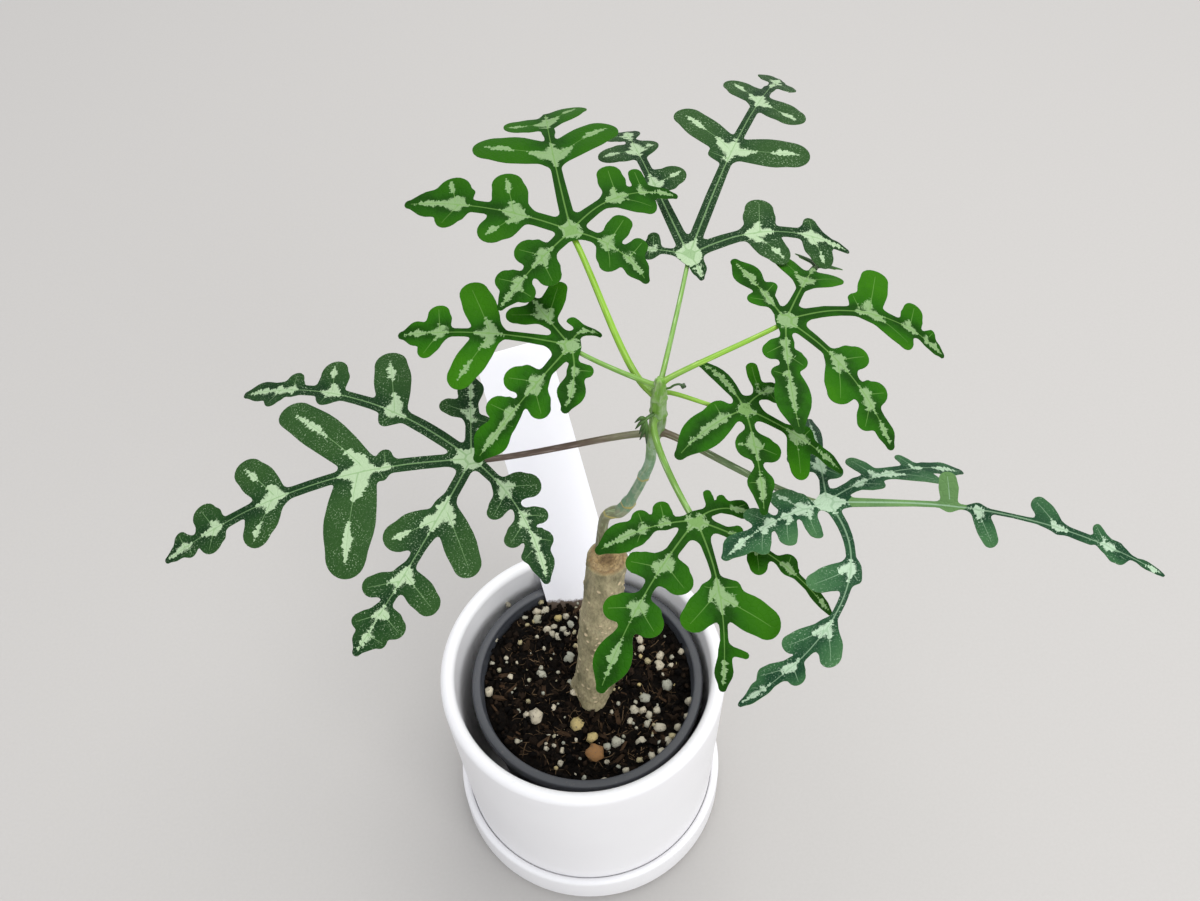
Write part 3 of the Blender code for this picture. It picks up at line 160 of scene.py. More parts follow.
# Where each palm stands, how far it is tilted and towards which side, its petiole, the kinds of finish
# that its blade and petiole have, and its five lobes
LEAVES = {
    "back_left": Leaf(
        centre=(5, 42.5, 262), tilt=8, toward=-90,
        petiole=Petiole(243.3, 150, 1.0, 1.0, 1.5), colour=("bright", "lime"),
        lobes=(
            lobe(100, 60.5, turn=-7, droop=36.5, lift=6, neck=1.5, wide=1.5, end=9,
                 side=((30, 21.5, 9.5, 6.5), (28.5, -18.5, 13.5, 6.5), (49.5, 12.5, -1, 5.5),
                       (50, -10.5, 14, 5.5))),
            lobe(150, 48.5, turn=21, droop=12, neck=2, wide=5, end=7,
                 side=((17, -12, 7, 5), (15.5, 10.5, 7.5, 5.5), (34, -8.5, 3.5, 6),
                       (33, 8, 3.5, 4.5))),
            lobe(-137, 29.5, turn=9, droop=14, neck=1.75, wide=2.5, end=3.5,
                 side=((10.5, -7.5, 3, 4.5), (11.5, 8, 4, 4), (20.5, -6, 2.5, 3.5), (22, 6, 0, 3.5))),
            lobe(56, 35.5, turn=-59, droop=25, lift=6, neck=1.75, wide=2, end=4.5,
                 side=((17.5, 11, 2, 3.5), (16, -6, 11.5, 4.5), (25, 8.5, 0, 2))),
            lobe(-15, 26, turn=-50, droop=10, neck=1.5, wide=3.5, end=5,
                 side=((10.5, 10, -0.5, 3), (10, -6.5, 7, 4), (17.5, 7, -1, 2.5))),
        )),
    "back": Leaf(
        centre=(36.5, 41.5, 252), tilt=8, toward=-100,
        petiole=Petiole(247.4, 74, 0.75, 1.5, 1.0), colour=("dark", "pale"),
        lobes=(
            lobe(68.5, 96, turn=-2, droop=36, lift=8, neck=1.5, wide=1.5, end=6.5,
                 side=((40.5, 20, 13.5, 5.5), (37, 6, 0.5, 2.5), (41, -21.5, 5, 6.5),
                       (71, 12, 10.5, 6), (71, -15, -8, 6), (94.5, 6, 5, 4), (93.5, -7, -9.5, 3))),
            lobe(108, 65, turn=-9, droop=34, lift=6, neck=1.5, wide=1.5, end=6,
                 side=((28, -9.5, 2.5, 5.5), (28.5, 7, -2, 3.5), (47.5, 11.5, 0, 6), (48, -6.5, 0, 6.5),
                       (60, 7.5, 1, 4.5), (60.5, -3, 1, 3.5))),
            lobe(28.5, 50, turn=-41, droop=36.5, lift=8, neck=1.75, wide=1.5, end=5,
                 side=((21.5, 11, 2.5, 4.5), (19.5, -11, 7, 5), (37.5, 6, -1, 2.5), (37, -9.5, 4.5, 5.5))),
            lobe(159, 14, turn=8, droop=8, neck=1, wide=2, end=2,
                 side=((10, -5.5, 1, 2), (11, 3.5, -0.5, 2.5))),
            lobe(-52, 8, turn=-29, droop=35, neck=1.75, wide=2, end=2.5),
        )),
    "left": Leaf(
        centre=(3.5, 14.5, 248), tilt=8, toward=-100,
        petiole=Petiole(247.2, 160, 0.75, 1.0, 1.0), colour=("bright", "pale"),
        lobes=(
            lobe(160, 47.5, turn=17, droop=10, neck=1.25, wide=4, end=4.5,
                 side=((22, -15.5, 8.5, 4.5), (22, 17.5, 7, 5), (36, -8.5, 1.5, 3.5),
                       (36, 7.5, 4.5, 3))),
            lobe(124, 20.5, turn=-7, droop=10, neck=1.5, wide=2.5, end=3.5,
                 side=((11, -9, 9.5, 3.5), (13, 8.5, 5.5, 3.5))),
            lobe(83, 12, turn=-106, droop=40, neck=1, wide=1.5, end=4.5,
                 side=((6.5, 5.5, -1, 1),)),
            lobe(-132, 39.5, turn=4, droop=12, neck=1.5, wide=5, end=6.5,
                 side=((13.5, -8, 4, 4.5), (15, 7.5, 6, 3.5), (24.5, -7, 1, 4), (28, 3, -1, 2.5))),
            lobe(-77, 19.5, turn=-41, droop=10, neck=1.25, wide=4, end=5.5,
                 side=((7.5, 5, 0.5, 2),)),
        )),
    "right_back": Leaf(
        centre=(60, 18, 250), tilt=6, toward=-40,
        petiole=Petiole(248.6, 27, 0.8, 1.5, 1.0), colour=("bright", "lime"),
        lobes=(
            lobe(116, 25, turn=3, droop=8, neck=1.25, wide=4, end=6.5,
                 side=((7.5, 5, 3.5, 2.5), (10, -4.5, 2, 2))),
            lobe(64, 32.5, turn=-3, droop=40, lift=8, neck=1.25, wide=1, end=6.5,
                 side=((16, 11.5, 8.5, 3.5), (16, -8, 9.5, 4), (32.5, 7, 4, 4), (33, -4.5, 8.5, 4))),
            lobe(21.5, 50, turn=-50, droop=38, lift=8, neck=1.5, wide=2, end=3.5,
                 side=((24, 15.5, 3, 4), (21.5, 6, -1.5, 2), (24.5, -6, 13.5, 4),
                       (36.5, 8.5, 0.5, 3.5), (42.5, 4, 1.5, 1.5))),
            lobe(-38.5, 45, turn=-38, droop=14, neck=1.25, wide=2.5, end=4.5,
                 side=((17.5, 7.5, 3.5, 4), (17.5, -7.5, 11, 4.5), (29, 5.5, 2, 4), (31.5, -5, 6.5, 3))),
            lobe(-97, 34, turn=14, droop=6, neck=1.25, wide=5, end=10,
                 side=((7.5, -6, 4, 3), (11, 4.5, 4, 3), (17.5, -4.5, -1.5, 2))),
        )),
    "right": Leaf(
        centre=(48, -1.5, 238), tilt=6, toward=-60,
        petiole=Petiole(243.0, 45, 0.65, -2.0, 1.5), colour=("bright", "lime"),
        lobes=(
            lobe(109, 23.5, turn=18, droop=30, neck=1, wide=2.25, end=11),
            lobe(58, 15.5, turn=-45, droop=25, neck=1.25, wide=2.5, end=4,
                 side=((7.5, 9.5, 3, 1.5), (9.5, -4.5, 0, 2))),
            lobe(-159, 23, turn=30, droop=6, neck=1.5, wide=5.5, end=12.5,
                 side=((6.5, -5.5, -0.5, 3.5),)),
            lobe(-80, 29.5, turn=-10, droop=16, neck=1, wide=2.5, end=5.5,
                 side=((10.5, -4.5, -0.5, 5), (11, 6, 3.5, 3.5), (21, -3.5, 0, 3.5), (21, 3, 1, 2.5))),
            lobe(-26, 31, turn=-7, droop=35, neck=1.25, wide=2, end=5.5,
                 side=((14.5, -10.5, 7, 3.5), (16.5, 4, 1, 2.5))),
        )),
    "far_left": Leaf(
        centre=(-25, -1.5, 222), tilt=6, toward=-120,
        petiole=Petiole(226.4, 184, 1.0, 2.0, 1.0), colour=("dark", "brown"),
        lobes=(
            lobe(-182, 91, turn=27, droop=22, lift=6, neck=1.75, wide=2.5, end=4,
                 side=((23.5, -5.5, 0, 2.5), (25.5, 4, -1.5, 1.5), (28.5, -28, 20, 5.5),
                       (31, 30, 7.5, 8), (54.5, -15, 8, 5), (56, 11.5, 8.5, 5.5),
                       (74, -8.5, 2.5, 4.5), (74, 6, 4, 4.5), (84, -5, 0.5, 2.5), (83, 4, -0.5, 2))),
            lobe(136, 83.5, turn=33, droop=26, lift=6, neck=1.75, wide=3.5, end=7.5,
                 side=((28, -17, 12.5, 5.5), (28, 5, 1.5, 3), (50, -10.5, 4.5, 5), (51, 4.5, 1, 3.5),
                       (64.5, -6, 1, 3.5), (69, 5.5, 3, 3.5))),
            lobe(92, 29, turn=-1, droop=8, neck=1.5, wide=4, end=5.5,
                 side=((15.5, 8.5, 4, 3), (13.5, -6, -3, 2))),
            lobe(-116, 60.5, turn=-10, droop=14, neck=1.5, wide=3.5, end=4,
                 side=((19.5, -9.5, 12, 5.5), (15.5, 16.5, 14, 4.5), (38.5, -8, 6.5, 3.5), (36.5, 13, 5, 4),
                       (48.5, -5.5, 5.5, 2.5), (48, 8.5, 2.5, 3.5), (54.5, 6, 0, 2))),
            lobe(-42, 42, turn=-40, droop=14, neck=1.25, wide=3.5, end=5.5,
                 side=((12.5, 8.5, 5.5, 4), (14, -7.5, 5, 3), (22.5, 6, 3, 2.5), (24, -7, 5, 3),
                       (29.5, 4.5, 2.5, 3), (31.5, -4.5, 3, 2))),
        )),
    "front": Leaf(
        centre=(33.5, -27.5, 226), tilt=4, toward=-60,
        petiole=Petiole(235.3, -122, 1.0, 0.5, 1.8), colour=("bright", "pale"),
        lobes=(
            lobe(-181, 27, turn=32, droop=10, neck=1.25, wide=4.5, end=7,
                 side=((8, -6.5, 0, 2.5), (13.5, -5.5, 0, 2.5), (14, 3.5, 3, 2.5))),
            lobe(-130, 50.5, turn=16, droop=20, neck=1.5, wide=5, end=8,
                 side=((16, -8.5, 3, 3.5), (14.5, 9, 4, 4.5), (28, -7.5, 4, 4), (27.5, 7.5, 5, 4.5))),
            lobe(-72, 45, turn=-27, droop=30, lift=8, neck=1, wide=2.5, end=4.5,
                 side=((20, -4, -1.5, 1.5), (20, -9.5, 9.5, 4.5), (22, 13.5, 9, 4.5),
                       (19.5, 5.5, 0.5, 2), (34.5, 6, 2, 1))),
            lobe(46, 17.5, turn=-70, droop=30, neck=1.25, wide=2.5, end=3.5,
                 side=((5.5, 6, 1, 1), (9, 4, 0, 1), (11.5, 2.5, 3.5, 1.5))),
            lobe(-22, 42.5, turn=-26, droop=32, lift=6, neck=1, wide=1.5, end=3.5,
                 side=((16.5, -6.5, 4.5, 3), (26, 3.5, -1, 3), (10, 3, 1, 1.5))),
        )),
    "far_right": Leaf(
        centre=(68, -22.5, 224), tilt=12, toward=90,
        petiole=Petiole(227.5, -20, 1.05, 0.0, 1.0), colour=("blue", "olive"),
        lobes=(
            lobe(-162, 35.5, turn=33, lift=6, neck=1.25, wide=4, end=6,
                 side=((7, -8.5, 3.5, 5), (6, 11, 4.5, 2.5), (12, 9, 8, 3), (17.5, -7, 2.5, 3),
                       (20, 6.5, 8, 2.5))),
            lobe(87, 44.5, droop=22, neck=1, wide=2.5, end=12.5,
                 side=((15.5, 8, 5, 5.5), (14.5, -5, -4, 3.5))),
            lobe(40, 51, turn=-24, droop=30, neck=1.75, wide=3, end=7,
                 side=((19, 9, -3, 2.5), (12, -4, 6, 3), (21.5, -6, 16.5, 3), (33, 6, -2.5, 2))),
            lobe(-3, 93, turn=-11, droop=32, lift=8, roll=66, tip_roll=25, neck=0.6, wide=1, end=3.5,
                 side=((31.5, 9, -2, 2.5), (38.5, -9, 6.5, 2.5), (60.5, 5.5, -8.5, 2.5),
                       (61.5, -0.5, 9, 1), (74.5, 4, -5, 1.5), (74.5, -1.5, 6.5, 3))),
            lobe(-66, 70.5, turn=-112, droop=40, lift=10, neck=1, wide=2, end=4,
                 side=((23.5, -9, 9, 4), (24, 2.5, 3.5, 1.5), (41.5, -5.5, 11, 3), (41.5, 7, 7, 3),
                       (54, -4, 9, 2.5), (54, 5, 1.5, 2.5), (62.5, -2.5, 3.5, 1.5))),
        )),
}


# Camera, light and floor

def camera_axes():
    """The camera's right, up and forward directions."""
    pitch, roll = math.radians(PITCH), math.radians(ROLL)
    right, up = Vector((1, 0, 0)), Vector((0, math.sin(pitch), math.cos(pitch)))
    ahead = Vector((0, math.cos(pitch), -math.sin(pitch)))
    turned_right = right * math.cos(roll) + up * math.sin(roll)
    turned_up = up * math.cos(roll) - right * math.sin(roll)
    return turned_right, turned_up, ahead


def place_camera():
    """The camera as it stood for the photograph."""
    right, up, ahead = camera_axes()
    data = bpy.data.cameras.new("photo_camera")
    data.sensor_width = SENSOR
    data.lens = FOCAL_PX / PHOTO_W * SENSOR
    data.clip_start = 0.01
    data.clip_end = 50
    camera = bpy.data.objects.new("photo_camera", data)
    bpy.context.scene.collection.objects.link(camera)
    turn = Matrix((right, up, -ahead)).transposed().to_4x4()
    camera.matrix_world = Matrix.Translation(Vector(EYE) * MM) @ turn
    bpy.context.scene.camera = camera


def seen_at(px, py, z):
    """The point at a height that the photograph shows at a pixel."""
    right, up, ahead = camera_axes()
    ray = ahead * FOCAL_PX + right * (px - PHOTO_W / 2) - up * (py - PHOTO_H / 2)
    eye = Vector(EYE)
    return eye + ray * ((z - eye.z) / ray.z)


def soft_light(name, place, size, power, colour=(1, 1, 1)):
    """A square studio light that faces the plant; its place and size are in metres."""
    data = bpy.data.lights.new(name, "AREA")
    data.shape = "SQUARE"
    data.size = size
    data.energy = power
    data.color = colour
    lamp = bpy.data.objects.new(name, data)
    bpy.context.scene.collection.objects.link(lamp)
    lamp.location = place
    lamp.rotation_euler = (Vector(LIGHTS_AIM) - Vector(place)).to_track_quat("-Z", "Y").to_euler()


def studio():
    """A pale room with one soft light above and one in front."""
    world = bpy.data.worlds.new("pale_room")
    bpy.context.scene.world = world
    world.use_nodes = True
    sky = world.node_tree.nodes["Background"]
    sky.inputs["Color"].default_value = (0.93, 0.95, 1.0, 1)
    sky.inputs["Strength"].default_value = 0.84
    soft_light("top_light", (0.25, 0.35, 1.5), 1.1, 15.5, (1.0, 0.985, 0.96))
    soft_light("front_light", (0.7, -1.1, 0.9), 0.9, 9.0)
    bpy.context.scene.view_settings.view_transform = "Standard"


def pale_floor():
    """A matt, faintly clouded floor."""
    bpy.ops.object.select_all(action="DESELECT")
    bpy.ops.mesh.primitive_plane_add(size=8)
    floor = bpy.context.active_object
    floor.name = "floor"
    mat = Finish("pale_floor", (0.46, 0.445, 0.425), 0.8)
    mottle = mat.noise(mat.object_point(), 0.8, 3)
    mat.colour(mat.mixed(mottle, (0.445, 0.43, 0.41), (0.475, 0.46, 0.44)))
    mat.put_on(floor)


# Materials

class Nodes:
    """Adds nodes to a tree; a value given to an input is a number, a colour or another node's socket."""

    def __init__(self, tree):
        self.tree = tree

    def add(self, kind, inputs=None, **settings):
        node = self.tree.nodes.new("ShaderNode" + kind)
        for key, value in settings.items():
            setattr(node, key, value)
        for key, value in (inputs or {}).items():
            self.give(node.inputs[key], value)
        return node

    def give(self, socket, value):
        if isinstance(value, bpy.types.NodeSocket):
            self.tree.links.new(value, socket)
        elif socket.type == "RGBA" and len(value) == 3:
            socket.default_value = (*value, 1.0)
        else:
            socket.default_value = value

    def object_point(self, scale=1.0):
        """Object coordinates in millimetres times a scale, which may differ along x, y and z."""
        size = (1000 * scale,) * 3 if isinstance(scale, (int, float)) else [1000 * s for s in scale]
        place = self.add("TexCoord").outputs["Object"]
        return self.add("Mapping", {"Vector": place, "Scale": size}).outputs[0]

    def surface_point(self):
        """The piece's own flat coordinates in millimetres."""
        place = self.add("UVMap", uv_map="flat").outputs[0]
        return self.add("Mapping", {"Vector": place, "Scale": (FLAT_UNIT, FLAT_UNIT, 1)}).outputs[0]

    def attribute(self, name):
        """A value kept at the piece's points."""
        return self.add("Attribute", attribute_name=name).outputs["Fac"]

    def noise(self, point, scale, detail=2.0, rough=0.5):
        inputs = {"Vector": point, "Scale": scale, "Detail": detail, "Roughness": rough}
        return self.add("TexNoise", inputs).outputs[0]

    def maths(self, operation, a, b=0.0):
        return self.add("Math", {0: a, 1: b}, operation=operation).outputs[0]

    def step(self, value, low, high):
        """Rises smoothly from 0 to 1 as the value goes from low to high."""
        inputs = {"Value": value, "From Min": low, "From Max": high}
        return self.add("MapRange", inputs, interpolation_type="SMOOTHSTEP").outputs[0]

    def scaled(self, value, low, high):
        """Goes from low to high as the value goes from 0 to 1."""
        return self.add("MapRange", {"Value": value, "To Min": low, "To Max": high}).outputs[0]

    def mixed(self, factor, a, b):
        """Colour a where the factor is 0, b where it is 1."""
        node = self.add("Mix", data_type="RGBA")
        self.give(node.inputs[0], factor)
        self.give(node.inputs[6], a)
        self.give(node.inputs[7], b)
        return node.outputs[2]

    def ramp(self, factor, stops):
        """A colour for each factor, from stops of (place, colour)."""
        node = self.add("ValToRGB", {"Fac": factor})
        band = node.color_ramp
        while len(band.elements) < len(stops):
            band.elements.new(0.5)
        for element, (place, colour) in zip(band.elements, stops):
            element.position = place
            element.color = (*colour, 1)
        return node.outputs[0]

    def group(self, tree, values):
        """Places a node group with its values and gives its outputs."""
        node = self.tree.nodes.new("ShaderNodeGroup")
        node.node_tree = tree
        for key, value in values.items():
            self.give(node.inputs[key], value)
        return node.outputs


class Finish(Nodes):
    """A material with one Principled shader."""

    def __init__(self, name, colour, roughness, **sockets):
        self.material = bpy.data.materials.new(name)
        self.material.use_nodes = True
        super().__init__(self.material.node_tree)
        self.shader = self.tree.nodes["Principled BSDF"]
        self.material.diffuse_color = (*colour, 1)
        self.shader.inputs["Base Color"].default_value = (*colour, 1)
        self.shader.inputs["Roughness"].default_value = roughness
        for key, value in sockets.items():
            self.shader.inputs[key.replace("_", " ").title().replace("Ior", "IOR")].default_value = value

    def colour(self, value):
        self.give(self.shader.inputs["Base Color"], value)

    def roughness(self, value):
        self.give(self.shader.inputs["Roughness"], value)

    def relief(self, height, depth):
        """Bump from a height of 0 to 1 that stands for a depth in millimetres."""
        bump = self.add("Bump", {"Height": height, "Distance": depth * MM, "Strength": 1.0})
        self.give(self.shader.inputs["Normal"], bump.outputs[0])

    def put_on(self, obj):
        obj.data.materials.clear()
        obj.data.materials.append(self.material)


def node_group(name, inputs, outputs):
    """A new node group with float inputs and outputs; Point is a vector."""
    tree = bpy.data.node_groups.new(name, "ShaderNodeTree")
    for key in inputs:
        kind = "NodeSocketVector" if key == "Point" else "NodeSocketFloat"
        tree.interface.new_socket(key, in_out="INPUT", socket_type=kind)
    for key in outputs:
        tree.interface.new_socket(key, in_out="OUTPUT", socket_type="NodeSocketFloat")
    start, end = tree.nodes.new("NodeGroupInput"), tree.nodes.new("NodeGroupOutput")
    return Nodes(tree), start.outputs, end.inputs


def leaf_figure():
    """Where a leaf is silver, veined, speckled and mottled, and how its surface rises."""
    nodes, given, out = node_group(
        "leaf_figure", ("Point", "Silver", "Vein", "Run", "Across", "Feather", "Speckle"),
        ("Silver", "Vein", "Speckle", "Mottle", "Height"))
    point = given["Point"]
    comb = nodes.add("CombineXYZ", {0: given["Run"], 1: nodes.maths("MULTIPLY", given["Across"], 0.22)})
    comb = nodes.noise(comb.outputs[0], 1.25, 2.0, 0.6)
    coarse = nodes.noise(point, 0.5, 2.0, 0.55)
    fine = nodes.noise(point, 2.6, 2.0, 0.6)
    ragged = nodes.maths("ADD", nodes.maths("SUBTRACT", comb, 0.5),
                         nodes.maths("MULTIPLY", nodes.maths("SUBTRACT", coarse, 0.5), 0.9))
    ragged = nodes.maths("ADD", ragged, nodes.maths("MULTIPLY", nodes.maths("SUBTRACT", fine, 0.5), 0.45))
    edge = nodes.maths("ADD", given["Silver"], nodes.maths("MULTIPLY", ragged, given["Feather"]))
    nodes.give(out["Silver"], nodes.step(edge, -0.10, 0.16))
    nodes.give(out["Vein"], nodes.step(given["Vein"], 0.09, -0.05))
    flecks = nodes.step(nodes.noise(point, 2.1, 2.0, 0.75), 0.58, 0.66)
    patches = nodes.step(nodes.noise(point, 0.17, 1.0), 0.40, 0.62)
    flecks = nodes.maths("MULTIPLY", flecks, nodes.scaled(patches, 0.25, 1.0))
    nodes.give(out["Speckle"], nodes.maths("MULTIPLY", flecks, given["Speckle"]))
    nodes.give(out["Mottle"], nodes.noise(point, 0.12, 3.0, 0.6))
    net = nodes.step(nodes.add("TexVoronoi", {"Vector": point, "Scale": 0.62},
                               feature="DISTANCE_TO_EDGE").outputs[0], 0.0, 0.16)
    grain = nodes.maths("MULTIPLY", nodes.noise(point, 4.0, 1.0), 0.35)
    nodes.give(out["Height"], nodes.maths("ADD", net, grain))
    return nodes.tree


# Linear colours of each kind of leaf, how much of it is speckled, and its gloss
LEAF_KINDS = {
    "bright": dict(deep=(0.007, 0.044, 0.001), body=(0.015, 0.092, 0.0015), tips=(0.026, 0.128, 0.0015),
                   silver=(0.22, 0.34, 0.155), vein=(0.13, 0.26, 0.06), under=(0.12, 0.26, 0.05),
                   speckle=0.04, shine=0.05),
    "dark": dict(deep=(0.005, 0.028, 0.006), body=(0.012, 0.047, 0.009), tips=(0.020, 0.063, 0.012),
                 silver=(0.39, 0.52, 0.32), vein=(0.18, 0.31, 0.13), under=(0.13, 0.24, 0.09),
                 speckle=0.6, shine=0.09),
    "blue": dict(deep=(0.009, 0.046, 0.018), body=(0.027, 0.094, 0.034), tips=(0.050, 0.140, 0.050),
                 silver=(0.42, 0.56, 0.40), vein=(0.23, 0.36, 0.22), under=(0.15, 0.28, 0.09),
                 speckle=0.5, shine=0.09),
}
FEATHER = 2.6                # how far the edge of the silver frays


def leaf_finish(name, figure, deep, body, tips, silver, vein, under, speckle, shine):
    """A leaf's surface: deep green by the midribs, body green, paler tips, silver and veins on top."""
    mat = Finish(name, body, 0.5, specular_ior_level=shine)
    point = mat.surface_point()
    seen = mat.group(figure, {"Point": point, "Silver": mat.attribute("silver"),
                              "Vein": mat.attribute("vein"), "Run": mat.attribute("run"),
                              "Across": mat.attribute("across"), "Feather": FEATHER, "Speckle": speckle})
    outer = mat.maths("ADD", mat.attribute("outer"),
                      mat.maths("MULTIPLY", mat.maths("SUBTRACT", seen["Mottle"], 0.5), 1.3))
    green = mat.ramp(outer, ((0.0, deep), (0.35, body), (1.0, tips)))
    green = mat.mixed(mat.attribute("shade"), green, deep)
    green = mat.mixed(seen["Speckle"], green, silver)
    top = mat.mixed(mat.maths("MULTIPLY", seen["Silver"], 0.88), green, silver)
    top = mat.mixed(mat.maths("MULTIPLY", seen["Vein"], 0.65), top, vein)
    below = mat.mixed(mat.scaled(seen["Mottle"], 0.0, 0.7), under, body)
    below = mat.mixed(seen["Vein"], below, vein)
    mat.colour(mat.mixed(mat.step(mat.attribute("under"), 0.4, 0.6), top, below))
    mat.roughness(mat.scaled(seen["Mottle"], 0.42, 0.58))
    mat.relief(seen["Height"], 0.06)
    return mat


def streak_figure():
    """Streaks along a stalk or stem, with blotches and a fine grain."""
    nodes, given, out = node_group("streak_figure", ("Point",), ("Streak", "Blotch", "Grain"))
    long = nodes.add("Mapping", {"Vector": given["Point"], "Scale": (1.0, 0.10, 1.0)}).outputs[0]
    nodes.give(out["Streak"], nodes.noise(long, 1.1, 2.0, 0.6))
    nodes.give(out["Blotch"], nodes.noise(given["Point"], 0.22, 3.0, 0.6))
    nodes.give(out["Grain"], nodes.noise(given["Point"], 2.4, 2.0, 0.6))
    return nodes.tree


# Linear colours of each kind of stalk
STALK_KINDS = {
    "lime": dict(foot=(0.14, 0.29, 0.02), body=(0.19, 0.38, 0.02), streak=(0.30, 0.48, 0.08)),
    "pale": dict(foot=(0.15, 0.30, 0.04), body=(0.15, 0.31, 0.05), streak=(0.32, 0.47, 0.20)),
    "brown": dict(foot=(0.14, 0.14, 0.07), body=(0.085, 0.055, 0.040), streak=(0.20, 0.16, 0.13)),
    "olive": dict(foot=(0.12, 0.09, 0.05), body=(0.13, 0.20, 0.08), streak=(0.38, 0.46, 0.28)),
}


def stalk_finish(name, figure, foot, body, streak):
    """A leaf stalk: one colour at the stem, one further out, and pale streaks along it."""
    mat = Finish(name, body, 0.38, specular_ior_level=0.45)
    seen = mat.group(figure, {"Point": mat.surface_point()})
    along = mat.maths("ADD", mat.attribute("along"),
                      mat.maths("MULTIPLY", mat.maths("SUBTRACT", seen["Blotch"], 0.5), 0.5))
    skin = mat.mixed(mat.step(along, 0.05, 0.45), foot, body)
    skin = mat.mixed(mat.step(seen["Streak"], 0.52, 0.66), skin, streak)
    mat.colour(skin)
    mat.roughness(mat.scaled(seen["Blotch"], 0.3, 0.5))
    mat.relief(seen["Streak"], 0.12)
    return mat


def stem_finish(figure):
    """The grafted shoot: mottled grey-green, then bloomed blue-green, then fresh green."""
    mat = Finish("shoot_skin", (0.2, 0.35, 0.22), 0.5)
    seen = mat.group(figure, {"Point": mat.surface_point()})
    along = mat.attribute("along")
    skin = mat.ramp(along, ((0.0, (0.10, 0.085, 0.04)), (0.24, (0.19, 0.20, 0.10)),
                            (0.30, (0.15, 0.28, 0.16)), (0.58, (0.17, 0.31, 0.17)),
                            (0.70, (0.15, 0.29, 0.05)), (1.0, (0.14, 0.32, 0.03))))
    dull = mat.ramp(along, ((0.0, (0.19, 0.17, 0.10)), (0.26, (0.30, 0.31, 0.19)),
                            (0.55, (0.30, 0.44, 0.30)), (1.0, (0.24, 0.36, 0.12))))
    skin = mat.mixed(mat.step(seen["Blotch"], 0.42, 0.62), skin, dull)
    skin = mat.mixed(mat.step(seen["Streak"], 0.56, 0.70), skin, (0.36, 0.46, 0.26))
    scar = mat.step(mat.attribute("scar"), 0.35, 0.8)
    skin = mat.mixed(scar, skin, (0.44, 0.38, 0.12))
    mat.colour(skin)
    mat.roughness(mat.scaled(seen["Grain"], 0.42, 0.62))
    mat.relief(mat.maths("ADD", seen["Streak"], mat.maths("MULTIPLY", seen["Grain"], 0.4)), 0.18)
    return mat


def wear_figure():
    """Faint clouding and a few small marks on a smooth made surface."""
    nodes, given, out = node_group("wear_figure", ("Point",), ("Cloud", "Mark", "Skin"))
    nodes.give(out["Cloud"], nodes.noise(given["Point"], 0.05, 3.0))
    nodes.give(out["Mark"], nodes.step(nodes.noise(given["Point"], 0.75, 2.0, 0.6), 0.80, 0.84))
    nodes.give(out["Skin"], nodes.noise(given["Point"], 0.9, 2.0))
    return nodes.tree


def glaze_finish(figure):
    """White satin glaze, faintly clouded, with a few small dark marks."""
    mat = Finish("white_glaze_satin", (0.86, 0.855, 0.86), 0.36, specular_ior_level=0.5)
    seen = mat.group(figure, {"Point": mat.object_point()})
    body = mat.mixed(seen["Cloud"], (0.845, 0.835, 0.845), (0.875, 0.87, 0.875))
    mat.colour(mat.mixed(seen["Mark"], body, (0.55, 0.52, 0.5)))
    mat.roughness(mat.scaled(seen["Cloud"], 0.3, 0.44))
    mat.relief(seen["Skin"], 0.02)
    return mat


def pot_plastic_finish(figure):
    """Dark grey moulded plastic with a little dust."""
    mat = Finish("moulded_grey_plastic", (0.05, 0.053, 0.062), 0.42)
    seen = mat.group(figure, {"Point": mat.object_point()})
    body = mat.mixed(seen["Cloud"], (0.030, 0.033, 0.040), (0.058, 0.062, 0.072))
    dust = mat.step(mat.noise(mat.object_point(), 0.5, 4.0, 0.7), 0.60, 0.72)
    mat.colour(mat.mixed(mat.maths("MULTIPLY", dust, 0.35), body, (0.20, 0.17, 0.14)))
    mat.roughness(mat.scaled(seen["Cloud"], 0.34, 0.5))
    mat.relief(seen["Skin"], 0.03)
    return mat


def label_finish(figure):
    """Smooth white plastic, dirtied where it stands in the mix."""
    mat = Finish("white_label_plastic", (0.90, 0.89, 0.93), 0.38)
    seen = mat.group(figure, {"Point": mat.object_point()})
    body = mat.mixed(seen["Cloud"], (0.88, 0.87, 0.915), (0.92, 0.91, 0.945))
    height = mat.add("SeparateXYZ", {0: mat.object_point()}).outputs[2]
    splash = mat.maths("ADD", height, mat.scaled(mat.noise(mat.object_point(), 0.6, 3.0, 0.6), -1.2, 1.2))
    mat.colour(mat.mixed(mat.step(splash, 85.0, 84.0), body, (0.10, 0.07, 0.05)))
    mat.roughness(mat.scaled(seen["Cloud"], 0.3, 0.46))
    mat.relief(seen["Skin"], 0.02)
    return mat


def mix_finish():
    """Nearly black, damp earth."""
    mat = Finish("damp_potting_mix", (0.02, 0.013, 0.009), 0.85, specular_ior_level=0.1)
    point = mat.object_point()
    tone = mat.noise(point, 0.55, 5.0, 0.7)
    earth = mat.ramp(tone, ((0.30, (0.002, 0.0015, 0.001)), (0.5, (0.005, 0.0035, 0.0025)),
                            (0.68, (0.016, 0.010, 0.006)), (0.8, (0.055, 0.034, 0.019))))
    mat.colour(earth)
    mat.roughness(mat.scaled(mat.noise(point, 0.3, 3.0), 0.6, 0.95))
    mat.relief(mat.noise(point, 1.3, 5.0, 0.75), 1.2)
    return mat


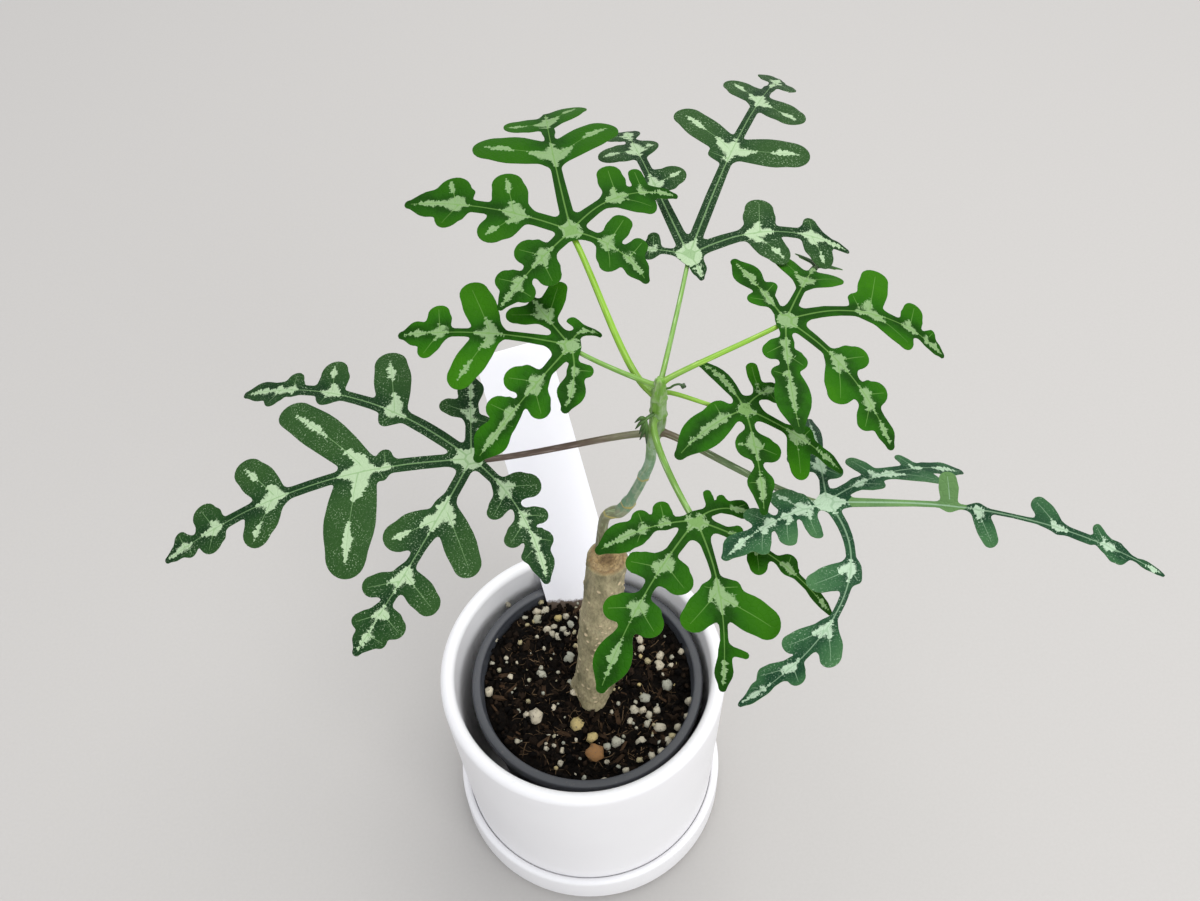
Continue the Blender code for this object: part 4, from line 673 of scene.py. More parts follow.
def crumb_finish(name, dark, pale, roughness, depth):
    """Loose bits, each with its own tone between two colours."""
    mat = Finish(name, dark, roughness, specular_ior_level=0.1)
    point = mat.object_point()
    grit = mat.noise(point, 1.4, 3.0, 0.7)
    tone = mat.maths("ADD", mat.attribute("tone"), mat.scaled(grit, -0.3, 0.3))
    mat.colour(mat.mixed(tone, dark, pale))
    mat.relief(grit, depth)
    return mat


def grain_finish():
    """Perlite and pumice: chalky white to yellow-grey, pitted, with a few damp sides."""
    mat = Finish("chalky_grain", (0.66, 0.62, 0.52), 0.8)
    point = mat.object_point()
    body = mat.ramp(mat.attribute("tone"), ((0.0, (0.56, 0.50, 0.37)), (0.35, (0.36, 0.37, 0.30)),
                                            (0.6, (0.52, 0.41, 0.17)), (1.0, (0.27, 0.11, 0.03))))
    pits = mat.noise(point, 1.1, 4.0, 0.7)
    mat.colour(mat.mixed(mat.step(pits, 0.54, 0.70), body, (0.12, 0.10, 0.075)))
    mat.relief(pits, 0.5)
    return mat


def bark_finish():
    """Thin grey-tan bark with olive patches, corky spots and a cut end with a tan rim."""
    mat = Finish("rootstock_bark", (0.36, 0.31, 0.18), 0.75)
    point = mat.object_point((1.0, 1.0, 0.55))
    patches = mat.noise(point, 0.16, 4.0, 0.65)
    skin = mat.ramp(patches, ((0.32, (0.13, 0.12, 0.055)), (0.46, (0.30, 0.265, 0.145)),
                              (0.6, (0.43, 0.37, 0.215)), (0.75, (0.31, 0.31, 0.175))))
    flecks = mat.noise(mat.object_point((1.0, 1.0, 0.35)), 1.3, 4.0, 0.7)
    skin = mat.mixed(mat.scaled(mat.step(flecks, 0.45, 0.62), 0.0, 0.45), skin, (0.13, 0.10, 0.05))
    skin = mat.mixed(mat.step(mat.attribute("cork"), 0.25, 0.7), skin, (0.62, 0.50, 0.31))
    rings = mat.attribute("ring")
    cut = mat.ramp(rings, ((0.0, (0.22, 0.14, 0.06)), (0.3, (0.44, 0.30, 0.14)), (0.6, (0.48, 0.34, 0.17)),
                           (0.8, (0.28, 0.18, 0.08)), (1.0, (0.62, 0.40, 0.17))))
    cracks = mat.noise(mat.object_point(), 1.5, 4.0, 0.75)
    cut = mat.mixed(mat.scaled(mat.step(cracks, 0.5, 0.62), 0.0, 0.5), cut, (0.09, 0.055, 0.03))
    mat.colour(mat.mixed(mat.attribute("cut"), skin, cut))
    mat.roughness(mat.scaled(patches, 0.6, 0.9))
    mat.relief(flecks, 0.35)
    return mat


def bud_finish(figure):
    """Fresh green that darkens towards the tip."""
    mat = Finish("young_leaf_skin", (0.05, 0.13, 0.02), 0.45)
    seen = mat.group(figure, {"Point": mat.object_point()})
    green = mat.mixed(mat.attribute("along"), (0.07, 0.17, 0.02), (0.008, 0.030, 0.005))
    mat.colour(mat.mixed(mat.step(seen["Blotch"], 0.5, 0.65), green, (0.03, 0.075, 0.012)))
    mat.relief(seen["Grain"], 0.08)
    return mat


# Meshes

def only(obj):
    """Makes obj the only selected object."""
    bpy.ops.object.select_all(action="DESELECT")
    obj.select_set(True)
    bpy.context.view_layer.objects.active = obj


def made_of(name, points, faces, attributes=None, flat=None, smooth_angle=SHARP):
    """A mesh object from points in millimetres, with values and flat coordinates at its points."""
    mesh = bpy.data.meshes.new(name)
    mesh.from_pydata([tuple(p) for p in np.asarray(points, float) * MM], [], [tuple(f) for f in faces])
    for key, values in (attributes or {}).items():
        mesh.attributes.new(key, "FLOAT", "POINT").data.foreach_set("value", np.asarray(values, np.float32))
    if flat is not None:
        layer = mesh.uv_layers.new(name="flat")
        corners = np.zeros(len(mesh.loops), int)
        mesh.loops.foreach_get("vertex_index", corners)
        layer.data.foreach_set("uv", (np.asarray(flat, np.float32)[corners] / FLAT_UNIT).ravel())
    mesh.shade_smooth()
    mesh.set_sharp_from_angle(angle=math.radians(smooth_angle))
    obj = bpy.data.objects.new(name, mesh)
    bpy.context.scene.collection.objects.link(obj)
    return obj


def dress(obj, finish, slot, *nodes):
    """Gives a piece its material and lets it stand for its solids, if it has any; slot is not used."""
    finish.put_on(obj)
    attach(obj, "root")
    if nodes:
        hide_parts(*nodes)
    return obj


def within(value):
    """The value, held between 0 and 1."""
    return min(1.0, max(0.0, value))


def add_shape(points, faces, more, sides):
    """Adds a shape's points and faces to those of a piece."""
    base = len(points)
    points.extend(more)
    faces.extend(tuple(i + base for i in f) for f in sides)


def arc(cx, cz, r, start, stop, steps):
    """Points of an arc about (cx, cz), between two angles in degrees."""
    angles = [math.radians(start + (stop - start) * i / steps) for i in range(steps + 1)]
    return [(cx + r * math.cos(a), cz + r * math.sin(a)) for a in angles]


def thrown(name, profile, centre=(0.0, 0.0), drain=False, sides=144):
    """A round vessel drawn up ring by ring from its bottom, over the rim and down inside it.

    A drain joins the first ring to the last, and without one both are filled.
    """
    x, y = centre[0] * MM, centre[1] * MM
    bpy.ops.object.select_all(action="DESELECT")
    bpy.ops.mesh.primitive_circle_add(vertices=sides, radius=profile[0][0] * MM, fill_type="NOTHING",
                                      location=(x, y, profile[0][1] * MM))
    obj = bpy.context.active_object
    obj.name = name
    bpy.ops.object.mode_set(mode="EDIT")
    for (r0, z0), (r1, z1) in zip(profile, profile[1:]):
        bpy.ops.mesh.extrude_region_move(TRANSFORM_OT_translate={"value": (0, 0, (z1 - z0) * MM)})
        bpy.ops.transform.resize(value=(r1 / r0, r1 / r0, 1), center_override=(x, y, z1 * MM))
    bpy.ops.mesh.select_all(action="DESELECT")
    bpy.ops.mesh.select_non_manifold(extend=False, use_wire=False, use_boundary=True, use_multi_face=False,
                                     use_non_contiguous=False, use_verts=False)
    if drain:
        bpy.ops.mesh.bridge_edge_loops()
    else:
        bpy.ops.mesh.fill_holes(sides=0)
    bpy.ops.mesh.select_all(action="SELECT")
    bpy.ops.mesh.normals_make_consistent(inside=False)
    bpy.ops.object.mode_set(mode="OBJECT")
    bpy.ops.object.transform_apply(location=True, rotation=True, scale=True)
    bpy.ops.object.shade_smooth_by_angle(angle=math.radians(SHARP))
    return obj


def smooth_path(points, steps):
    """A Catmull-Rom curve through the points, with some steps from each to the next."""
    p = [np.array(q, float) for q in points]
    p = [2 * p[0] - p[1]] + p + [2 * p[-1] - p[-2]]
    out = []
    for i in range(1, len(p) - 2):
        for k in range(steps):
            t = k / steps
            out.append(0.5 * (2 * p[i] + (p[i + 1] - p[i - 1]) * t
                              + (2 * p[i - 1] - 5 * p[i] + 4 * p[i + 1] - p[i + 2]) * t ** 2
                              + (3 * p[i] - p[i - 1] - 3 * p[i + 1] + p[i + 2]) * t ** 3))
    out.append(p[-2])
    return out


def tube_faces(rings, sides):
    """Faces between rings of points, with one more to close each end."""
    faces = []
    for i in range(rings - 1):
        for k in range(sides):
            a, b = i * sides + k, i * sides + (k + 1) % sides
            faces.append((a, b, b + sides, a + sides))
    faces.append(tuple(range(sides))[::-1])
    faces.append(tuple(range((rings - 1) * sides, rings * sides)))
    return faces


def rounded_end(place, before, r):
    """Places and radii of three rings that shrink past a path's end."""
    away = place - before
    away = away / np.linalg.norm(away)
    return [(place + away * r * 0.6 * math.sin(b), r * math.cos(b)) for b in (0.5, 0.95, 1.3)]


def grown(path, radii, sides, ripple=None):
    """Points, faces, flat coordinates and share of the length of a stem along a path.

    ripple(share, angle) adds to the radius. Its two ends are rounded.
    """
    path = [np.array(p, float) for p in path]
    radii = list(radii)
    first = rounded_end(path[0], path[1], radii[0])[::-1]
    last = rounded_end(path[-1], path[-2], radii[-1])
    path = [p for p, _ in first] + path + [p for p, _ in last]
    radii = [r for _, r in first] + radii + [r for _, r in last]
    count = len(path)
    tangents = [path[min(i + 1, count - 1)] - path[max(i - 1, 0)] for i in range(count)]
    tangents = [t / np.linalg.norm(t) for t in tangents]
    walked = np.concatenate([[0], np.cumsum([np.linalg.norm(b - a) for a, b in zip(path, path[1:])])])
    share = walked / walked[-1]
    side = np.cross(tangents[0], (0.3, 0.9, 0.1))
    points, flat, along = [], [], []
    for i, (p, t, r) in enumerate(zip(path, tangents, radii)):
        side = side - t * (side @ t)
        side /= np.linalg.norm(side)
        other = np.cross(t, side)
        for k in range(sides):
            a = 2 * math.pi * k / sides
            grow = r + (ripple(share[i], a) * min(1, r / max(radii) * 2) if ripple else 0)
            points.append(p + grow * (math.cos(a) * side + math.sin(a) * other))
            flat.append((abs(a - math.pi) * max(radii), walked[i]))
            along.append(share[i])
    return points, tube_faces(count, sides), flat, along


# Pots

def inner_floor_z():
    """Height of the grower's pot's floor, inside it."""
    return SAUCER_FLOOR + GAP + POT_FLOOR + GAP + INNER_FLOOR


def inner_wall_r(z):
    """Inner radius of the grower's pot at a height."""
    low = inner_floor_z()
    f = (z - low) / (INNER_RIM_Z - low)
    return INNER_FOOT_R + f * (INNER_WALL_R - INNER_FOOT_R) - INNER_WALL


def saucer(finish):
    """A shallow dish with a foot ring, a round corner and an upright, rounded lip."""
    inner = SAUCER_R - SAUCER_WALL
    lip = SAUCER_WALL / 2
    bend = SAUCER_CORNER - 1.5
    foot_ring = SAUCER_R - SAUCER_CORNER - 3
    profile = [(HUB_R, SAUCER_HOLLOW), (foot_ring - 3, SAUCER_HOLLOW), (foot_ring - 2, 0), (foot_ring, 0)]
    profile += arc(SAUCER_R - SAUCER_CORNER, SAUCER_CORNER, SAUCER_CORNER, -90, 0, 10)
    profile += arc(SAUCER_R - lip, SAUCER_H - lip, lip, 0, 180, 12)
    profile += arc(inner - bend, SAUCER_FLOOR + bend, bend, 0, -90, 8)
    profile += [(HUB_R, SAUCER_FLOOR)]
    return dress(thrown("saucer_glazed", profile), finish, "white_glaze", "saucer")


def cover_pot(finish):
    """A thick-walled pot that widens a little towards its rounded rim."""
    foot = SAUCER_FLOOR + GAP
    floor = foot + POT_FLOOR
    lip = POT_WALL / 2
    inner_foot = POT_FOOT_R - POT_WALL - 1.5
    profile = [(POT_DRAIN_R, foot)]
    profile += arc(POT_FOOT_R - POT_CORNER, foot + POT_CORNER, POT_CORNER, -90, 0, 12)
    low_z, high_z = foot + POT_CORNER, POT_H - lip
    bands = 12
    for i in range(1, bands):
        f = i / bands
        profile.append((POT_FOOT_R + f * (POT_RIM_R - POT_FOOT_R), low_z + f * (high_z - low_z)))
    profile += arc(POT_RIM_R - lip, POT_H - lip, lip, 0, 180, 16)
    profile += arc(inner_foot - POT_CORNER, floor + POT_CORNER, POT_CORNER, 0, -90, 10)
    profile += [(POT_DRAIN_R, floor)]
    return dress(thrown("cover_pot_glazed", profile, drain=True), finish, "white_glaze", "cover_pot")


def grower_pot(finish):
    """A thin moulded pot with a thicker band under its rim, and a step inside it."""
    foot = inner_floor_z() - INNER_FLOOR
    band = INNER_RIM_Z - INNER_BAND
    top = INNER_RIM_Z
    inside = inner_wall_r(top)
    profile = [(INNER_DRAIN_R, foot), (INNER_FOOT_R - 1, foot)]
    profile += arc(INNER_FOOT_R - 1, foot + 1, 1, -60, 0, 4)
    profile += [(INNER_WALL_R, band), (INNER_RIM_R - 0.4, band), (INNER_RIM_R - 0.1, band + 0.15),
                (INNER_RIM_R, band + 0.5)]
    profile += arc(INNER_RIM_R - 0.6, top - 0.6, 0.6, 0, 90, 5)
    profile += arc(inside + 0.7, top - 0.7, 0.7, 90, 180, 5)
    profile += [(inside - 0.3, top - 3.4), (inside - 0.6, top - 3.7)]
    profile += [(inner_wall_r(foot + INNER_FLOOR), foot + INNER_FLOOR), (INNER_DRAIN_R, foot + INNER_FLOOR)]
    obj = thrown("grower_pot_moulded", profile, INNER_SHIFT, drain=True)
    return dress(obj, finish, "grey_plastic", "grower_pot")


# Potting mix

def stump_axis(z):
    """Middle of the rootstock at a height."""
    foot, top = np.array(STUMP_FOOT), np.array(STUMP_TOP)
    return foot + (top - foot) * (z - foot[2]) / (top[2] - foot[2])


def mix_level(x, y):
    """The solids' gentle level, with the clods and hollows of loose mix on it."""
    mound = math.exp(-(math.dist((x, y), stump_axis(SOIL_Z)[:2]) / 10) ** 2)
    even = SOIL_Z + 0.7 * math.sin(x / 8 + 1) * math.cos(y / 7) + 1.2 * y / 37 + 0.8 * mound
    clods = 1.5 * (noise.noise((x / 6.0, y / 6.0, 2.0))) + 0.9 * noise.noise((x / 2.6, y / 2.6, 5.0))
    return even + clods - 0.4


def mix_surface(finish):
    """The mix itself: a plug that fills the grower's pot, with a rough top."""
    top_r = inner_wall_r(SOIL_Z) - GAP
    foot_z = inner_floor_z() + GAP
    profile = [(HUB_R, foot_z), (inner_wall_r(foot_z) - GAP, foot_z), (top_r, SOIL_Z - 1)]
    rings = 46
    profile += [(0.6 + (top_r - 0.6) * (1 - i / rings), SOIL_Z) for i in range(1, rings + 1)]
    obj = thrown("mix_surface", profile, INNER_SHIFT, sides=150)
    for v in obj.data.vertices:
        x, y, z = (c / MM for c in v.co)
        if z > SOIL_Z - 2:
            fine = 0.5 * noise.fractal((x / 1.2, y / 1.2, 9.0), 0.8, 2.0, 3)
            v.co.z = (mix_level(x, y) + fine - (1.0 if z < SOIL_Z - 0.5 else 0.0)) * MM
    obj.data.shade_smooth()
    return dress(obj, finish, "potting_mix", "potting_mix")


def roughened(rough, seed, uniform, normal, cuts=0):
    """Points and faces of the primitive just added, cut up and moved at random; the object goes."""
    obj = bpy.context.active_object
    bpy.ops.object.mode_set(mode="EDIT")
    bpy.ops.mesh.select_all(action="SELECT")
    if cuts:
        bpy.ops.mesh.subdivide(number_cuts=cuts)
    bpy.ops.transform.vertex_random(offset=rough, uniform=uniform, normal=normal, seed=seed)
    bpy.ops.object.mode_set(mode="OBJECT")
    points = np.array([v.co for v in obj.data.vertices])
    faces = [tuple(p.vertices) for p in obj.data.polygons]
    bpy.data.objects.remove(obj)
    return points, faces


def lump(rough, seed, divisions=1):
    """A small irregular lump with a radius of about 1."""
    bpy.ops.object.select_all(action="DESELECT")
    bpy.ops.mesh.primitive_ico_sphere_add(subdivisions=divisions, radius=1.0)
    return roughened(rough, seed, uniform=0.6, normal=0.6)


def chip(rough, seed):
    """A small block with rough sides, about 2 along each, to be made a splinter of bark."""
    bpy.ops.object.select_all(action="DESELECT")
    bpy.ops.mesh.primitive_cube_add(size=2.0)
    return roughened(rough, seed, uniform=0.8, normal=0.0, cuts=1)


def turned_at_random(rng, flat):
    """A random turn, mostly about +Z when flat is small."""
    z = rng.uniform(0, 2 * math.pi)
    tilt, roll = rng.uniform(-flat, flat), rng.uniform(-flat, flat)
    about_z, about_y = Matrix.Rotation(z, 3, "Z"), Matrix.Rotation(tilt, 3, "Y")
    return np.array(about_z @ about_y @ Matrix.Rotation(roll, 3, "X"))


def scattered(name, shapes, places, finish, smooth_angle):
    """One piece of many small shapes; each place is (shape number, centre, size, turn, tone)."""
    points, faces, tones = [], [], []
    for number, centre, size, turn, tone in places:
        shape, sides = shapes[number]
        add_shape(points, faces, (shape * np.array(size)) @ turn.T + np.array(centre), sides)
        tones.extend([tone] * len(shape))
    obj = made_of(name, points, faces, {"tone": tones}, smooth_angle=smooth_angle)
    return dress(obj, finish, "potting_mix")


def on_mix(rng, reach):
    """A random place on the mix, clear of the rootstock."""
    while True:
        a, d = rng.uniform(0, 2 * math.pi), reach * math.sqrt(rng.random())
        x, y = d * math.cos(a) + INNER_SHIFT[0], d * math.sin(a) + INNER_SHIFT[1]
        if math.dist((x, y), stump_axis(SOIL_Z)[:2]) > STUMP_R + 1.2:
            return x, y


def mix_crumbs(finish):
    """Dark crumbs of peat, most of them small."""
    rng = random.Random(11)
    shapes = [lump(0.35, seed) for seed in range(6)]
    places = []
    for _ in range(CRUMBS):
        x, y = on_mix(rng, 36.6)
        r = 0.35 + 1.1 * rng.random() ** 3
        size = (r * rng.uniform(0.8, 1.5), r, r * rng.uniform(0.6, 1.0))
        centre = (x, y, mix_level(x, y) + r * rng.uniform(0.1, 0.6))
        shape, turn = rng.randrange(len(shapes)), turned_at_random(rng, 3.0)
        places.append((shape, centre, size, turn, rng.random() ** 3))
    return scattered("mix_crumbs", shapes, places, finish, 60)


def mix_bark(finish):
    """Flat brown splinters of bark."""
    rng = random.Random(23)
    shapes = [chip(0.35, seed) for seed in range(5)]
    places = []
    for _ in range(CHIPS):
        x, y = on_mix(rng, 34.5)
        long = rng.uniform(0.7, 2.4)
        size = (long, long * rng.uniform(0.18, 0.4), long * rng.uniform(0.1, 0.22))
        centre = (x, y, mix_level(x, y) + size[2] * 0.8 + 0.2)
        shape, turn = rng.randrange(len(shapes)), turned_at_random(rng, 0.5)
        places.append((shape, centre, size, turn, rng.random()))
    return scattered("mix_bark", shapes, places, finish, 25)


def mix_fibres(finish):
    """Thin coir threads, each a bent three-sided bar."""
    rng = random.Random(37)
    points, faces, tones = [], [], []
    knots = 6
    for _ in range(FIBRES):
        x, y = on_mix(rng, 34)
        a, length = rng.uniform(0, 2 * math.pi), rng.uniform(2.0, 7)
        bend, r = rng.uniform(-0.25, 0.25), rng.uniform(0.07, 0.17)
        path = []
        for k in range(knots):
            path.append((x, y, mix_level(x, y) + 0.35 + 0.25 * math.sin(k * 1.3 + a)))
            x += math.cos(a) * length / (knots - 1)
            y += math.sin(a) * length / (knots - 1)
            a += bend
        if math.dist(path[-1][:2], INNER_SHIFT) > 36:
            continue
        more, sides, _, _ = grown(path, [r] * knots, 3)
        add_shape(points, faces, more, sides)
        tones.extend([rng.random()] * len(more))
    return dress(made_of("mix_fibres", points, faces, {"tone": tones}), finish, "potting_mix")


# Pale grains: the photograph's pixel where each lies, its radius in millimetres, and its tone from
# white at 0 to tan at 1
GRAINS_SEEN = (
    (531, 603, 1.3, 0.1), (541, 603, 1.2, 0.5), (537, 613, 1.5, 0.0), (545, 612, 1.6, 0.1),
    (538, 620, 1.6, 0.4), (558, 618, 1.5, 0.6), (566, 617, 1.3, 0.1), (571, 625, 1.5, 0.3),
    (554, 626, 1.4, 0.1), (547, 630, 1.5, 0.0), (552, 634, 1.4, 0.1), (558, 636, 1.5, 0.1),
    (563, 630, 1.4, 0.2), (567, 634, 1.3, 0.1), (525, 618, 1.2, 0.2), (569, 658, 2.1, 0.3),
    (541, 673, 1.8, 0.25), (510, 677, 1.3, 0.0), (489, 690, 1.8, 0.0), (574, 693, 1.4, 0.0),
    (553, 707, 1.4, 0.0), (536, 716, 2.8, 0.0), (527, 714, 1.4, 0.0), (577, 723, 2.4, 0.6),
    (592, 735, 2.2, 0.6), (595, 751, 3.0, 0.95), (616, 740, 1.9, 0.25), (607, 744, 1.4, 0.3),
    (640, 640, 1.5, 0.0), (641, 648, 1.6, 0.0), (660, 655, 1.6, 0.0), (648, 660, 1.4, 0.5),
    (659, 665, 1.8, 0.0), (671, 664, 1.4, 0.0), (681, 651, 1.2, 0.0), (667, 684, 1.9, 0.3),
    (645, 697, 2.0, 0.3), (634, 709, 1.8, 0.1), (643, 709, 1.5, 0.0), (649, 714, 1.5, 0.1),
    (657, 709, 1.6, 0.1), (690, 700, 2.0, 0.1), (688, 716, 1.5, 0.1), (660, 727, 2.0, 0.1),
    (647, 723, 1.3, 0.2), (630, 720, 1.3, 0.1), (641, 740, 1.8, 0.1), (668, 741, 1.6, 0.1),
    (672, 735, 1.3, 0.5), (678, 726, 1.4, 0.1), (640, 758, 1.3, 0.5), (652, 755, 1.6, 0.1),
    (662, 752, 1.7, 0.1), (626, 769, 1.2, 0.1), (604, 781, 1.5, 0.1), (616, 781, 1.1, 0.1),
    (560, 761, 1.2, 0.1), (546, 747, 1.0, 0.1), (517, 741, 1.1, 0.1), (508, 603, 1.1, 0.1),
    (492, 662, 0.9, 0.2), (562, 748, 1.1, 0.0), (520, 642, 1.0, 0.5), (496, 640, 0.9, 0.1),
    (500, 620, 1.0, 0.0), (607, 760, 1.0, 0.1), (584, 776, 1.0, 0.3),
)


def mix_grains(finish):
    """Pale grains where the photograph shows them, and smaller ones strewn between."""
    rng = random.Random(5)
    shapes = [lump(0.16, seed, 2) for seed in range(5)]
    places = []
    for px, py, r, tone in GRAINS_SEEN:
        spot = seen_at(px, py, SOIL_Z + 1)
        size = (r * rng.uniform(0.85, 1.15), r * rng.uniform(0.85, 1.1), r * rng.uniform(0.75, 0.95))
        centre = (spot.x, spot.y, mix_level(spot.x, spot.y) + 0.45 * r)
        places.append((rng.randrange(len(shapes)), centre, size, turned_at_random(rng, 3.0), tone))
    for _ in range(SMALL_GRAINS):
        x, y = on_mix(rng, 35.5)
        r = rng.uniform(0.4, 0.95)
        centre = (x, y, mix_level(x, y) + 0.5 * r)
        shape, turn = rng.randrange(len(shapes)), turned_at_random(rng, 3.0)
        places.append((shape, centre, (r, r, r * 0.8), turn, rng.random() * 0.6))
    return scattered("mix_grains", shapes, places, finish, 80)


# Label

def cut_corners(obj, end, size, segments):
    """Bevels the two corners of the label's head (end 1) or foot (end -1) through its thickness."""
    mesh = obj.data
    bpy.ops.object.mode_set(mode="EDIT")
    bpy.ops.mesh.select_mode(type="EDGE")
    bpy.ops.mesh.select_all(action="DESELECT")
    bpy.ops.object.mode_set(mode="OBJECT")
    for edge in mesh.edges:
        a, b = (mesh.vertices[i].co for i in edge.vertices)
        edge.select = abs(a.y - b.y) > LABEL_T * MM / 2 and a.z * end > 0
    bpy.ops.object.mode_set(mode="EDIT")
    bpy.ops.mesh.bevel(offset=size * MM, segments=segments, affect="EDGES", clamp_overlap=False)
    bpy.ops.object.mode_set(mode="OBJECT")


def label(finish):
    """A bare plastic label: a slab with round top corners, a tapered foot and a softened edge."""
    entry, head = np.array(LABEL_ENTRY), np.array(LABEL_HEAD)
    length = np.linalg.norm(head - entry)
    up = (head - entry) / length
    across = np.array((1.0, 0.0, 0.0)) - up * up[0]
    across /= np.linalg.norm(across)
    tall = length + LABEL_BURIED
    bpy.ops.object.select_all(action="DESELECT")
    bpy.ops.mesh.primitive_cube_add(size=1.0)
    obj = bpy.context.active_object
    obj.name = "label_blank"
    obj.scale = (LABEL_W * MM, LABEL_T * MM, tall * MM)
    bpy.ops.object.transform_apply(location=False, rotation=False, scale=True)
    cut_corners(obj, 1, LABEL_CORNER, 10)
    cut_corners(obj, -1, LABEL_POINT, 1)
    soften(obj, 0.18, 3)
    for v in obj.data.vertices:
        f = (v.co.z / MM + tall / 2 - LABEL_BURIED) / length
        v.co.y += LABEL_BOW * MM * math.sin(math.pi * within(f)) * (v.co.x / MM / LABEL_W) ** 2
    turn = Matrix([list(row) for row in zip(across, np.cross(up, across), up)]).to_4x4()
    middle = Vector(entry + up * (tall / 2 - LABEL_BURIED)) * MM
    obj.data.transform(Matrix.Translation(middle) @ turn)
    bpy.ops.object.shade_smooth_by_angle(angle=math.radians(35))
    return dress(obj, finish, "white_plastic", "plant_label")


def soften(obj, width, segments):
    """Rounds an object's sharp edges over."""
    only(obj)
    bevel = obj.modifiers.new("soft_edge", "BEVEL")
    bevel.width = width * MM
    bevel.segments = segments
    bevel.limit_method = "ANGLE"
    bevel.angle_limit = math.radians(SHARP)
    bpy.ops.object.modifier_apply(modifier="soft_edge")


# Rootstock and scion

def stump_girth(z, a):
    """Radius of the bark at a height and an angle, with shallow knots above the mix."""
    above = within((z - SOIL_Z - 4) / 6)
    swell = 0.35 * math.sin(z / 9 + 2 * math.sin(a)) + 0.22 * math.sin(z / 3.1 + 3 * a)
    return STUMP_R + above * (swell + 0.25 * (z - SOIL_Z) / 80)


def rootstock(finish):
    """Bark with wrinkles and corky spots, and a rough, ringed cut face."""
    rng = random.Random(3)
    low, top = STUMP_FOOT[2] + 8, STUMP_TOP[2] - 0.8
    spots = np.array([(rng.uniform(SOIL_Z, top), rng.uniform(0, 2 * math.pi), rng.uniform(0.35, 0.8))
                      for _ in range(CORK_SPOTS)])
    angles = [2 * math.pi * k / STUMP_SIDES for k in range(STUMP_SIDES)]
    points, cork, ring, cut = [], [], [], []
    for i in range(STUMP_RINGS):
        z = low + (top - low) * i / (STUMP_RINGS - 1)
        middle = stump_axis(z)
        above = max(0, z - SOIL_Z)
        flare = 1.1 * math.exp(-above / 3.5) + 1.1 * math.exp(-above / 16)
        for a in angles:
            around = (spots[:, 1] - a + math.pi) % (2 * math.pi) - math.pi
            far = ((z - spots[:, 0]) ** 2 + (around * STUMP_R) ** 2) / spots[:, 2] ** 2
            spot = float(np.exp(-far).max())
            place = (math.cos(a) * 2.1, math.sin(a) * 2.1, z / 4.5)
            wrinkle = 0.22 * noise.fractal(place, 0.9, 2.0, 4) + 0.10 * noise.noise((a * 3, z / 0.9, 4))
            r = stump_girth(z, a) + flare * (0.6 + 0.5 * math.sin(3 * a)) + wrinkle + 0.32 * spot
            points.append(middle + np.array((r * math.cos(a), r * math.sin(a), 0.0)))
            cork.append(spot)
            ring.append(0.0)
            cut.append(0.0)
    middle = stump_axis(top)
    for i in range(1, FACE_RINGS + 1):
        f = i / FACE_RINGS
        for a in angles:
            r = stump_girth(top, a) * (1 - 0.985 * f)
            x, y = r * math.cos(a), r * math.sin(a)
            rough = 0.45 * noise.fractal((x / 1.5, y / 1.5, 1.0), 0.8, 2.0, 4)
            rise = 0.75 * math.sin(math.pi * min(1.0, f * 3.2) / 2)
            rim = rise * (1 - 0.55 * within(f * 2.2 - 0.35))
            ridges = 0.10 * math.sin(r * 5 + 2 * noise.noise((x / 3, y / 3, 0)))
            points.append(middle + np.array((x, y, rim + (rough + ridges) * min(1, f * 3))))
            cork.append(0.0)
            wander = 0.25 * noise.noise((x / 2, y / 2, 7.0))
            ring.append(within(1 - f * 1.25 + wander))
            cut.append(min(1.0, f * 5))
    faces = tube_faces(STUMP_RINGS + FACE_RINGS, STUMP_SIDES)
    obj = made_of("rootstock_bark", points, faces, {"cork": cork, "ring": ring, "cut": cut}, smooth_angle=70)
    return dress(obj, finish, "bark", "rootstock")


# Points along the middle of the grafted shoot, each with its radius: x, y, z, r
SCION = ((8.9, 4.6, 165.6, 1.9), (9.2, 4.6, 172.0, 1.6), (9.9, 4.5, 179.6, 1.5), (11.2, 4.3, 183.3, 1.6),
         (13.0, 4.0, 184.9, 1.6), (14.9, 3.6, 186.0, 2.0), (16.7, 3.2, 189.3, 2.0), (18.0, 3.0, 192.6, 1.7),
         (20.4, 2.5, 200.2, 1.6), (21.7, 2.2, 205.0, 1.5), (23.5, 1.8, 212.3, 1.5), (23.9, 1.5, 219.4, 1.4),
         (24.3, 1.2, 224.1, 1.8), (25.2, 1.0, 229.2, 2.1), (25.6, 0.7, 235.1, 2.1), (25.6, 0.5, 241.3, 2.0),
         (25.8, 0.2, 246.2, 1.8), (25.8, 0.0, 250.0, 1.1))
STEM_SCARS = (184.6, 191.0, 205.2, 226.5, 236.0, 243.0)   # heights of the shoot's ring scars


def scion(finish):
    """The grafted shoot, with ring scars and ribs that deepen towards its leafy end."""
    path = smooth_path(SCION, 10)
    line = [p[:3] for p in path]
    radii = []
    for p in path:
        ring = max(math.exp(-((p[2] - z) / 0.8) ** 2) for z in STEM_SCARS)
        radii.append(p[3] + 0.34 * ring)

    def ribs(share, a):
        deep = 0.09 + 0.11 * within((share - 0.62) * 6)
        return deep * math.sin(6 * a + 2 * math.sin(9 * share)) + 0.06 * noise.noise((a * 2, share * 60, 0))

    points, faces, flat, along = grown(line, radii, 36, ribs)
    scar = [max(math.exp(-((p[2] - z) / 0.55) ** 2) for z in STEM_SCARS[:3]) for p in points]
    obj = made_of("scion_shoot", points, faces, {"along": along, "scar": scar}, flat, 60)
    return dress(obj, finish, "green_stem", "scion")


